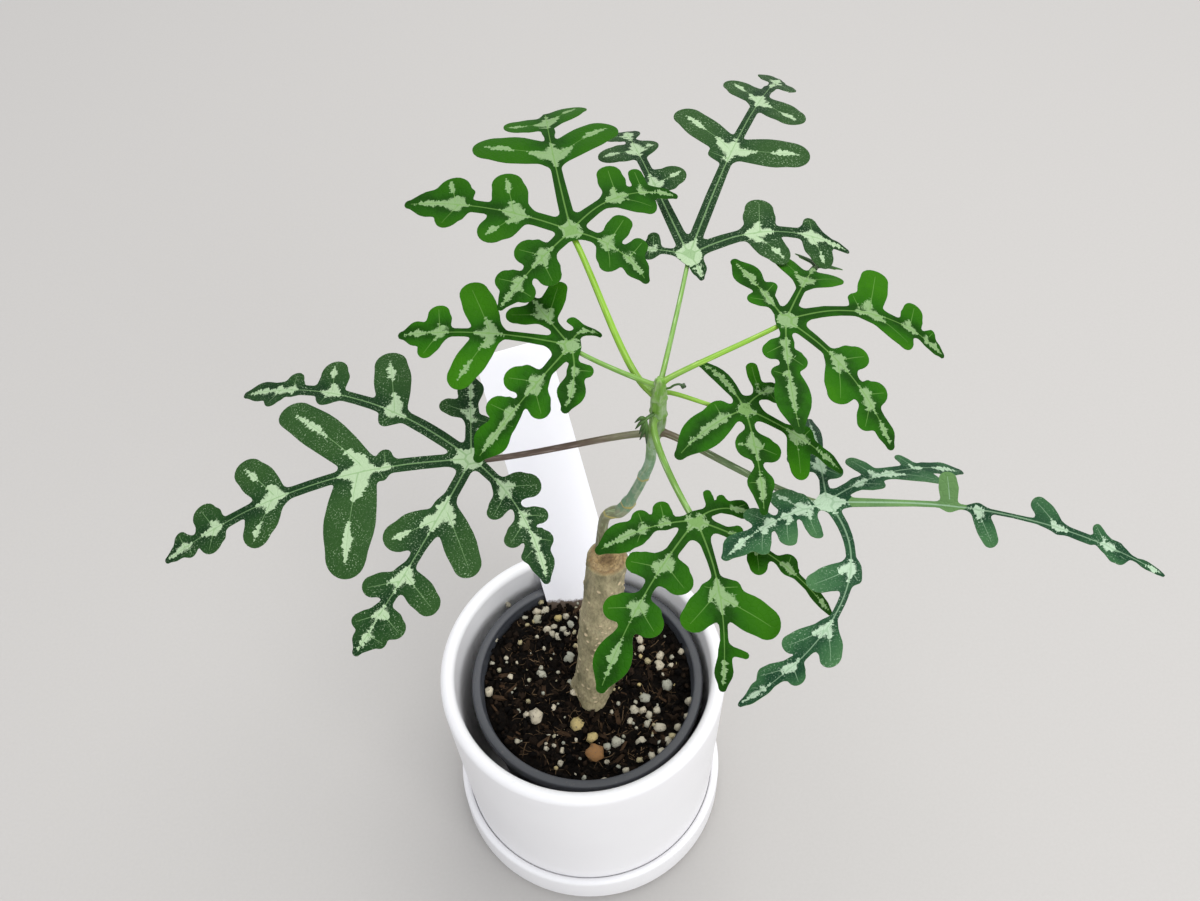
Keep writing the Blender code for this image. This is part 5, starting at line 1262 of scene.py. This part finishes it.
def stem_at(z):
    """Middle and radius of the scion at a height above its lower bend."""
    upper = np.array([p for p in SCION if p[2] > 190])
    return np.array([np.interp(z, upper[:, 2], upper[:, i]) for i in (0, 1, 3)])


def stalk(name, leaf, finish):
    """A leaf stalk from the stem's side to the underside of the palm, a little thicker at both ends."""
    row = leaf.petiole
    x, y, r = stem_at(row.height)
    side = math.radians(row.side)
    out = np.array((math.cos(side), math.sin(side), 0.0))
    start = np.array((x, y, row.height)) + out * (r + GAP + 0.15 * row.r)
    palm = np.array(leaf.centre, float)
    normal = palm_frame(leaf)[2]
    tip_r = row.r * PETIOLE_TAPER
    end = palm - normal * (BLADE_T / 2 + GAP + tip_r)
    back = start - end
    span = np.linalg.norm(back)
    back -= normal * (back @ normal)
    leaving = start + out * 0.15 * span + (0, 0, row.arch)
    arriving = end + back * 0.35 - normal * row.dip
    knots = [start - out * 0.9, leaving, arriving, end + normal * 0.75 * tip_r]
    steps = 44
    path, radii = [], []
    for i in range(steps + 1):
        t = i / steps
        w = ((1 - t) ** 3, 3 * t * (1 - t) ** 2, 3 * t * t * (1 - t), t ** 3)
        path.append(sum(k * v for k, v in zip(w, knots)))
        swell = 0.35 * math.exp(-(t * span / 1.6) ** 2) + 0.12 * math.exp(-((1 - t) * span / 1.5) ** 2)
        radii.append((row.r + (tip_r - row.r) * t) * (1 + swell))

    def channel(share, a):
        return -0.10 * row.r * math.exp(-((a - math.pi) / 0.5) ** 2) + 0.04 * row.r * math.sin(5 * a)

    points, faces, flat, along = grown(path, radii, 20, channel)
    obj = made_of("stalk_" + name, points, faces, {"along": along}, flat, 60)
    return dress(obj, finish, "petiole_" + leaf.colour[1], "petiole_" + name)


# Bends and tips of the fingers of the newest leaf, which hangs beside the stem
FINGERS = (((20.9, -2.9, 238.4), (19.2, -3.2, 237.0)), ((20.9, -3.1, 236.9), (19.3, -3.7, 234.9)),
           ((21.3, -3.4, 235.6), (20.3, -4.0, 233.2)), ((21.6, -3.9, 234.6), (20.4, -4.8, 231.6)),
           ((22.2, -4.2, 234.4), (22.1, -5.4, 230.4)))
TUFT = (22.2, -2.6, 237.4)
STEM_SIDE = (24.2, -1.4, 237.9)    # where the tuft leaves the stem


def shoot_tuft(finish):
    """The newest leaf, still a tuft of narrow folded fingers."""
    knob = np.array(TUFT)
    neck = smooth_path([STEM_SIDE, knob + (0.5, 0.4, 0.2), knob - (0.6, 0.3, 0.2)], 4)
    points, faces, _, _ = grown(neck, [0.5] * len(neck), 12)
    along = [0.2] * len(points)
    for bend, tip in FINGERS:
        path = smooth_path([knob, bend, tip], 8)
        n = len(path) - 1
        radii = [0.12 + 0.42 * math.sin(math.pi * min(1, i / n * 0.9 + 0.1)) for i in range(n + 1)]
        more, sides, _, share = grown(path, radii, 12, lambda s, a: -0.16 * math.exp(-((a - 2) / 0.4) ** 2))
        add_shape(points, faces, more, sides)
        along.extend(share)
    obj = made_of("newest_leaf", points, faces, {"along": along}, smooth_angle=60)
    return dress(obj, finish, "young_leaf", "shoot_tuft")


# Where the tendril starts, inside the stem, and points along it
TENDRIL_ROOT = (26.6, -0.2, 246.6)
TENDRIL = ((28.3, -0.7, 247.5), (29.3, -1.0, 248.8), (30.6, -1.1, 249.3), (31.6, -1.1, 248.6),
           (32.3, -1.1, 248.2))


def tendril(finish):
    """A thin, bowed tendril with a small bud near its tip."""
    path = smooth_path((TENDRIL_ROOT,) + TENDRIL, 8)
    n = len(path) - 1
    radii = [0.3 + 0.5 * math.exp(-((i / n - 0.84) / 0.09) ** 2) for i in range(n + 1)]
    points, faces, _, along = grown(path, radii, 12)
    obj = made_of("tendril_bud", points, faces, {"along": along}, smooth_angle=60)
    return dress(obj, finish, "young_leaf", "tendril")


# Leaf blades

def smin(a, b, k):
    """The smaller of two fields, rounded where they meet."""
    h = np.maximum(k - np.abs(a - b), 0) / k
    return np.minimum(a, b) - h * h * k / 4


def stroke(p, a, b, stations, radii):
    """Distance of points from a bar between a and b whose radius changes smoothly along it."""
    a, b = np.array(a, float), np.array(b, float)
    ab = b - a
    h = np.clip((p - a) @ ab / (ab @ ab), 0, 1)
    radius = np.mean([np.interp(h + shift, stations, radii) for shift in (-0.11, -0.04, 0.04, 0.11)], axis=0)
    return np.linalg.norm(p - a - h[:, None] * ab, axis=1) - radius


def palm_frame(leaf):
    """The palm's two plane axes and its normal, as rows."""
    tilt, toward = math.radians(leaf.tilt), math.radians(leaf.toward)
    n = np.array((math.sin(tilt) * math.cos(toward), math.sin(tilt) * math.sin(toward), math.cos(tilt)))
    u = np.array((1.0, 0.0, 0.0)) - n * n[0]
    u /= np.linalg.norm(u)
    return np.array((u, np.cross(n, u), n))


class LobeForm:
    """A lobe's outline and markings in the palm's plane, and how the plane bends into its surface."""

    steps = 60

    def __init__(self, lobe_row):
        self.row = lobe_row
        self.start = math.radians(lobe_row.heading)
        self.bend = math.radians(lobe_row.turn or 0.01) / lobe_row.length
        s = np.linspace(0, lobe_row.length, self.steps + 1)
        f = s / lobe_row.length
        heading = self.start + self.bend * s
        rise = np.radians(lobe_row.lift * (1 - f) * np.minimum(1, 5 * f) - lobe_row.droop * f)
        roll = np.radians(np.interp(f, (0, 0.35, 1), (0, lobe_row.roll, lobe_row.tip_roll)))
        ahead = np.stack([np.cos(rise) * np.cos(heading), np.cos(rise) * np.sin(heading), np.sin(rise)], 1)
        level = np.stack([-np.sin(heading), np.cos(heading), 0 * heading], 1)
        upward = np.cross(ahead, level)
        c, w = np.cos(roll)[:, None], np.sin(roll)[:, None]
        self.s, self.ahead = s, ahead
        self.left, self.normal = c * level + w * upward, c * upward - w * level
        half_steps = (ahead[1:] + ahead[:-1]) / 2 * (s[1] - s[0])
        self.rib = np.vstack([np.zeros(3), np.cumsum(half_steps, axis=0)])

    def plane(self, s, t):
        """Where stations lie in the palm's flat plane."""
        a = self.start + self.bend * s
        x = (np.sin(a) - math.sin(self.start)) / self.bend - t * np.sin(a)
        y = (math.cos(self.start) - np.cos(a)) / self.bend + t * np.cos(a)
        return np.stack([x, y], 1)

    def stations(self, p):
        """(distance along the midrib, distance to its left) of points in the palm's plane."""
        radius = 1 / self.bend
        t0 = np.array((math.cos(self.start), math.sin(self.start)))
        n0 = np.array((-t0[1], t0[0]))
        q = p - n0 * radius
        turned_by = np.arctan2(q @ t0, -(q @ n0) * np.sign(radius)) * np.sign(radius)
        s = turned_by * radius
        t = (abs(radius) - np.linalg.norm(q, axis=1)) * np.sign(radius)
        # Behind the palm and past the tip, the midrib goes on straight
        before = (p @ t0 < 0) & (np.abs(p @ n0) < abs(radius))
        s = np.where(before, p @ t0, s)
        t = np.where(before, p @ n0, t)
        length = self.row.length
        angle = self.start + self.bend * length
        t1 = np.array((math.cos(angle), math.sin(angle)))
        n1 = np.array((-t1[1], t1[0]))
        beyond = p - (n0 * radius - n1 * radius)
        after = (s > length) & (beyond @ t1 > 0)
        s = np.where(after, length + beyond @ t1, s)
        t = np.where(after, beyond @ n1, t)
        return np.stack([s, t], 1)

    def end_start(self):
        """Where along the midrib the end lobe starts."""
        return max(self.row.length - 2 * self.row.end, 2.0)

    def distance(self, st):
        """Distance from the lobe's outline, negative inside it."""
        row = self.row
        start = self.end_start()
        d = stroke(st, (0, 0), (start + 1, 0), (0, 0.15, 0.4, 1),
                   (1.7, row.neck + 0.5, row.neck, row.neck))
        tip = min(0.9, row.wide * 0.4)
        d = smin(d, stroke(st, (start, 0), (row.length - tip, 0), (0, 0.3, 0.6, 0.85, 1),
                           (row.neck, row.wide * 0.85, row.wide, row.wide * 0.6, tip)), WEB)
        for station, reach, lean, half in row.side:
            span = math.hypot(reach, lean)
            f = max(0.2, 1 - 0.8 * half / span)
            end = (station + lean * f, reach * f)
            radii = (0.62 * half, 0.86 * half, half, 0.8 * half)
            d = smin(d, stroke(st, (station, 0), end, (0, 0.3, 0.7, 1), radii), WEB)
        return d

    def side_veins(self):
        """Each side lobe's vein as its two ends, in stations."""
        return [((station, 0.0), (station + 0.86 * lean, 0.86 * reach))
                for station, reach, lean, half in self.row.side if half > 1.2]

    def vein(self, st):
        """Distance from the edge of the nearest vein, negative on it."""
        length = self.row.length
        d = stroke(st, (0, 0), (length - 1, 0), (0, 1), (MIDRIB, 0.3 * MIDRIB))
        for a, b in self.side_veins():
            d = np.minimum(d, stroke(st, a, b, (0, 1), (SIDE_VEIN, 0.2 * SIDE_VEIN)))
        return d

    def vein_run(self, st):
        """Distance from the nearest vein, how far along it and on which side."""
        near = np.full((len(st), 3), 99.0)
        for a, b in [((0.0, 0.0), (self.row.length - 1, 0.0))] + self.side_veins():
            line = np.subtract(b, a)
            span = np.linalg.norm(line)
            along = (st - a) @ line / span
            across = (st - a) @ (-line[1], line[0]) / span
            off = np.hypot(along - np.clip(along, 0, span), across)
            near = np.where((off < near[:, 0])[:, None], np.stack([off, along + 7 * a[0], across], 1), near)
        return near

    def silver(self, st):
        """Distance into the silver patches: by the palm, where side veins leave, and along the ends."""
        row = self.row
        start = self.end_start()
        d = stroke(st, (0, 0), (1.5 + 0.045 * row.length, 0), (0, 1), (1.1 + 0.028 * row.length, 0.2))
        for station, reach, lean, half in row.side:
            if half > 1.2:
                wide = 0.3 * half + 0.35
                arm = (station + 0.32 * lean, 0.32 * reach)
                d = np.minimum(d, stroke(st, (station - 0.3 * half, 0), arm, (0, 0.45, 1), (0.3, wide, 0.1)))
                d = np.minimum(d, stroke(st, (station - 0.6 * half - 0.5, 0), (station + 0.7 * half + 1, 0),
                                         (0, 0.5, 1), (0.1, wide, 0.1)))
            if half > 4.7:
                d = np.minimum(d, stroke(st, (station + 0.5 * lean, 0.5 * reach),
                                         (station + 0.88 * lean, 0.88 * reach),
                                         (0, 0.4, 1), (0.2, 0.22 * half, 0.1)))
        long = row.length - start
        d = np.minimum(d, stroke(st, (start + 0.15 * long, 0), (row.length - 0.2 * long, 0),
                                 (0, 0.35, 1), (0.2, 0.12 * row.wide + 0.75, 0.15)))
        return -d

    def surface(self, st):
        """Where stations lie in the palm's frame once the lobe is bent."""
        s, t = st[:, 0], st[:, 1]
        inside = np.clip(s, 0, self.row.length)

        def along(rows):
            return np.stack([np.interp(inside, self.s, rows[:, i]) for i in range(3)], 1)

        rise = BLADE_FOLD * (np.sqrt(t * t + 1) - 1) - BLADE_SAG * t * t
        return (along(self.rib) + (s - inside)[:, None] * along(self.ahead)
                + t[:, None] * along(self.left) + rise[:, None] * along(self.normal))


def palm_web(leaf, p):
    """Distance from the round web between the midribs, which lies away from the petiole."""
    headings = np.radians([row.heading for row in leaf.lobes])
    ahead = np.array((np.cos(headings).sum(), np.sin(headings).sum()))
    ahead /= max(1.0, np.linalg.norm(ahead))
    return np.linalg.norm(p - ahead * PALM_SHIFT, axis=1) - PALM_R


def blade_field(leaf, forms, p):
    """Distance from the whole blade's outline."""
    d = palm_web(leaf, p)
    for form in forms:
        d = smin(d, form.distance(form.stations(p)), WEB)
    return d


# Which two sides of a grid cell the outline crosses, for each set of its corners that is inside
CELL_SIDES = {1: ((0, 3),), 2: ((1, 0),), 3: ((1, 3),), 4: ((2, 1),), 5: ((0, 3), (2, 1)), 6: ((2, 0),),
              7: ((2, 3),), 8: ((3, 2),), 9: ((0, 2),), 10: ((1, 0), (3, 2)), 11: ((1, 2),),
              12: ((3, 1),), 13: ((0, 1),), 14: ((3, 0),)}


def outline_loops(values, xs, ys):
    """Closed loops where a field on a grid is zero, its inside on their left."""
    inside = values < 0
    code = (inside[:-1, :-1] * 1 + inside[1:, :-1] * 2 + inside[1:, 1:] * 4 + inside[:-1, 1:] * 8)
    after, place = {}, {}
    for i, j in zip(*np.nonzero((code > 0) & (code < 15))):
        corners = ((i, j), (i + 1, j), (i + 1, j + 1), (i, j + 1))
        for pair in CELL_SIDES[int(code[i, j])]:
            keys = []
            for side in pair:
                a, b = sorted((corners[side], corners[(side + 1) % 4]))
                key = (int(a[0]), int(a[1]), int(b[0]), int(b[1]))
                f = values[a] / (values[a] - values[b])
                x, y = xs[a[0]], ys[a[1]]
                place[key] = (x + f * (xs[b[0]] - x), y + f * (ys[b[1]] - y))
                keys.append(key)
            after[keys[0]] = keys[1]
    loops = []
    while after:
        key = next(iter(after))
        loop = []
        while key in after:
            loop.append(place[key])
            key = after.pop(key)
        loops.append(np.array(loop))
    return loops


def thinned(points, tolerance):
    """Drops the points of an open line that lie within a tolerance of the line without them."""
    if len(points) < 3:
        return points
    a, b = points[0], points[-1]
    ab = b - a
    rel = points[1:-1] - a
    off = np.abs(ab[0] * rel[:, 1] - ab[1] * rel[:, 0]) / max(1e-9, np.linalg.norm(ab))
    k = int(np.argmax(off)) + 1
    if off[k - 1] < tolerance:
        return np.array((a, b))
    return np.vstack([thinned(points[:k + 1], tolerance)[:-1], thinned(points[k:], tolerance)])


def blade_outline(leaf, forms):
    """The blade's edge as one closed loop in the palm's plane."""
    reach = 14 + max(abs(v) for form in forms for v in form.rib[:, :2].ravel())
    grid = np.arange(-reach - 16, reach + 16, FIELD_CELL)
    gx, gy = np.meshgrid(grid, grid, indexing="ij")
    values = blade_field(leaf, forms, np.stack([gx.ravel(), gy.ravel()], 1)).reshape(gx.shape)
    loop = max(outline_loops(values, grid, grid), key=len)
    far = int(np.argmax(np.linalg.norm(loop - loop[0], axis=1)))
    first = thinned(loop[:far + 1], OUTLINE_TOLERANCE)
    second = thinned(np.vstack([loop[far:], loop[:1]]), OUTLINE_TOLERANCE)
    return np.vstack([first[:-1], second[:-1]])


def vein_rows(forms):
    """Points in three rows along every vein: on it and close to each side."""
    rows = []
    for form in forms:
        lines = [((2.0, 0.0), (form.row.length - 1.5, 0.0))]
        lines += [((a[0] + (b[0] - a[0]) * 0.12, b[1] * 0.12), b) for a, b in form.side_veins()]
        for a, b in lines:
            a, b = np.array(a), np.array(b)
            length = np.linalg.norm(b - a)
            along = (b - a) / length
            left = np.array((-along[1], along[0]))
            count = max(2, round(length / VEIN_STEP))
            for offset in (-VEIN_SIDE, 0.0, VEIN_SIDE):
                st = a + np.outer(np.linspace(0, length, count), along) + left * offset
                rows.append(form.plane(st[:, 0], st[:, 1]))
    return np.vstack(rows)


def spread_points(points, nearest):
    """Leaves out each point that lies nearer than a distance to one already kept."""
    kept, taken = [], {}
    for p in points:
        i, j = int(p[0] // nearest), int(p[1] // nearest)
        near = [q for a in (-1, 0, 1) for b in (-1, 0, 1) for q in taken.get((i + a, j + b), ())]
        if all((p[0] - q[0]) ** 2 + (p[1] - q[1]) ** 2 >= nearest ** 2 for q in near):
            kept.append(p)
            taken.setdefault((i, j), []).append(p)
    return np.array(kept)


def blade_plan(leaf, forms):
    """A blade's points and triangles in the palm's plane: its edge, rows along veins, a grid between."""
    loop = blade_outline(leaf, forms)
    veins = spread_points(vein_rows(forms), VEIN_NEAREST)
    low, high = loop.min(0), loop.max(0)
    grid = []
    for j, y in enumerate(np.arange(low[1], high[1], LAMINA_STEP * 0.87)):
        for x in np.arange(low[0] + (j % 2) * LAMINA_STEP / 2, high[0], LAMINA_STEP):
            grid.append((x, y))
    grid = np.array(grid)
    near_vein = np.min([form.vein(form.stations(grid)) for form in forms], axis=0)
    grid = grid[near_vein > VEIN_SIDE + 0.35]
    grid = grid[blade_field(leaf, forms, grid) < -0.75]
    veins = veins[blade_field(leaf, forms, veins) < -0.5]
    flat = np.vstack([loop, veins, grid])
    edges = [(i, (i + 1) % len(loop)) for i in range(len(loop))]
    verts, _, faces = delaunay_2d_cdt([Vector(p) for p in flat], edges, [], 1, 1e-4)[:3]
    return np.array([tuple(v) for v in verts]), np.array([tuple(f) for f in faces])


def shell(middle, normals, above, below, faces):
    """Points and faces of a thin skin on both sides of a surface, closed along its edge."""
    n = len(middle)
    points = np.vstack([middle + normals * above[:, None], middle - normals * below[:, None]])
    solid = [tuple(map(int, f)) for f in faces] + [tuple(int(i) + n for i in f[::-1]) for f in faces]
    sides = {(int(f[i]), int(f[(i + 1) % 3])) for f in faces for i in range(3)}
    for i, j in sorted(sides):
        if (j, i) not in sides:
            solid += [(j, i, i + n), (j, i + n, j + n)]
    return points, solid


# How much deeper a leaf's green is than that of the youngest of its kind
SHADES = {"back_left": 0.4, "front": 0.2}

# A lobe, by its place in the leaf's row, that has twisted over between two stations
TURNED_OVER = {"far_right": (3, 6.0, 35.5)}


def blade(name, leaf, finish):
    """A thin veined blade with the markings' distances kept at its points."""
    forms = [LobeForm(row) for row in leaf.lobes]
    flat, faces = blade_plan(leaf, forms)
    n = len(flat)
    middle, total = np.zeros((n, 3)), np.zeros(n)
    vein, silver, rib = np.full(n, 9.0), np.full(n, -9.0), np.full(n, 99.0)
    run = np.full((n, 3), 99.0)
    for form in forms:
        st = form.stations(flat)
        w = np.exp(-np.maximum(form.distance(st), 0) / LOBE_BLEND) + 1e-9
        middle += form.surface(st) * w[:, None]
        total += w
        vein = np.minimum(vein, form.vein(st))
        silver = np.maximum(silver, form.silver(st))
        rib = np.minimum(rib, stroke(st, (0, 0), (form.row.length, 0), (0, 1), (0, 0)))
        found = form.vein_run(st)
        run = np.where(found[:, :1] < run[:, :1], found, run)
    middle = middle / total[:, None] @ palm_frame(leaf) + np.array(leaf.centre)
    inset = -blade_field(leaf, forms, flat)
    puff = PUFF * (1 - np.exp(-(np.maximum(vein, 0) / 1.3) ** 2))
    wave = np.array([noise.noise((x / WAVE_LENGTH, y / WAVE_LENGTH, leaf.centre[0])) for x, y in flat])
    ripple = np.array([noise.noise((x / RIPPLE_LENGTH, y / RIPPLE_LENGTH, leaf.centre[1])) for x, y in flat])
    rise = puff + WAVE * wave * np.minimum(1, rib / 5) + RIPPLE * ripple
    middle = middle + point_normals(middle, faces) * rise[:, None]
    half = np.interp(inset, (0, 0.6), (EDGE_T / 2, LAMINA_T / 2))
    keel = KEEL * np.exp(-(np.maximum(vein, 0) / 0.35) ** 2) * np.minimum(1, inset)
    points, solid = shell(middle, point_normals(middle, faces), half, half + keel, faces)
    outer = np.clip((rib - 1.0) / 8.0, 0, 1)
    values = {"vein": vein, "silver": silver, "outer": outer, "run": run[:, 1], "across": run[:, 2]}
    values = {key: np.concatenate([v, v]) for key, v in values.items()}
    values["shade"] = np.full(2 * n, SHADES.get(name, 0.0))
    over = np.zeros(n)
    if name in TURNED_OVER:
        index, first, last = TURNED_OVER[name]
        st = forms[index].stations(flat)
        over[(forms[index].distance(st) < 0.5) & (st[:, 0] > first) & (st[:, 0] < last)] = 1
    values["under"] = np.concatenate([over, 1 - over])
    obj = made_of("leaf_" + name, points, solid, values, np.vstack([flat, flat]), 50)
    return dress(obj, finish, "blade_" + leaf.colour[0], "blade_" + name)


def point_normals(points, faces):
    """Unit normals at the points of a surface, from the triangles around each."""
    normals = np.zeros_like(points)
    a, b, c = (points[faces[:, i]] for i in range(3))
    for i in range(3):
        np.add.at(normals, faces[:, i], np.cross(b - a, c - a))
    return normals / np.linalg.norm(normals, axis=1)[:, None]


def main():
    place_camera()
    studio()
    pale_floor()
    wear, streaks, figure = wear_figure(), streak_figure(), leaf_figure()
    glaze = glaze_finish(wear)
    saucer(glaze)
    cover_pot(glaze)
    grower_pot(pot_plastic_finish(wear))
    mix_surface(mix_finish())
    mix_crumbs(crumb_finish("dark_crumb", (0.0015, 0.001, 0.0008), (0.028, 0.017, 0.010), 0.85, 0.5))
    mix_bark(crumb_finish("bark_chip", (0.006, 0.0035, 0.002), (0.060, 0.034, 0.018), 0.75, 0.3))
    mix_fibres(crumb_finish("coir_thread", (0.022, 0.014, 0.008), (0.17, 0.11, 0.06), 0.7, 0.05))
    mix_grains(grain_finish())
    label(label_finish(wear))
    rootstock(bark_finish())
    scion(stem_finish(streaks))
    bud = bud_finish(streaks)
    shoot_tuft(bud)
    tendril(bud)
    stalks = {kind: stalk_finish("stalk_" + kind, streaks, **looks) for kind, looks in STALK_KINDS.items()}
    blades = {kind: leaf_finish("leaf_" + kind, figure, **looks) for kind, looks in LEAF_KINDS.items()}
    for name, leaf in LEAVES.items():
        stalk(name, leaf, stalks[leaf.colour[1]])
        blade(name, leaf, blades[leaf.colour[0]])


main()
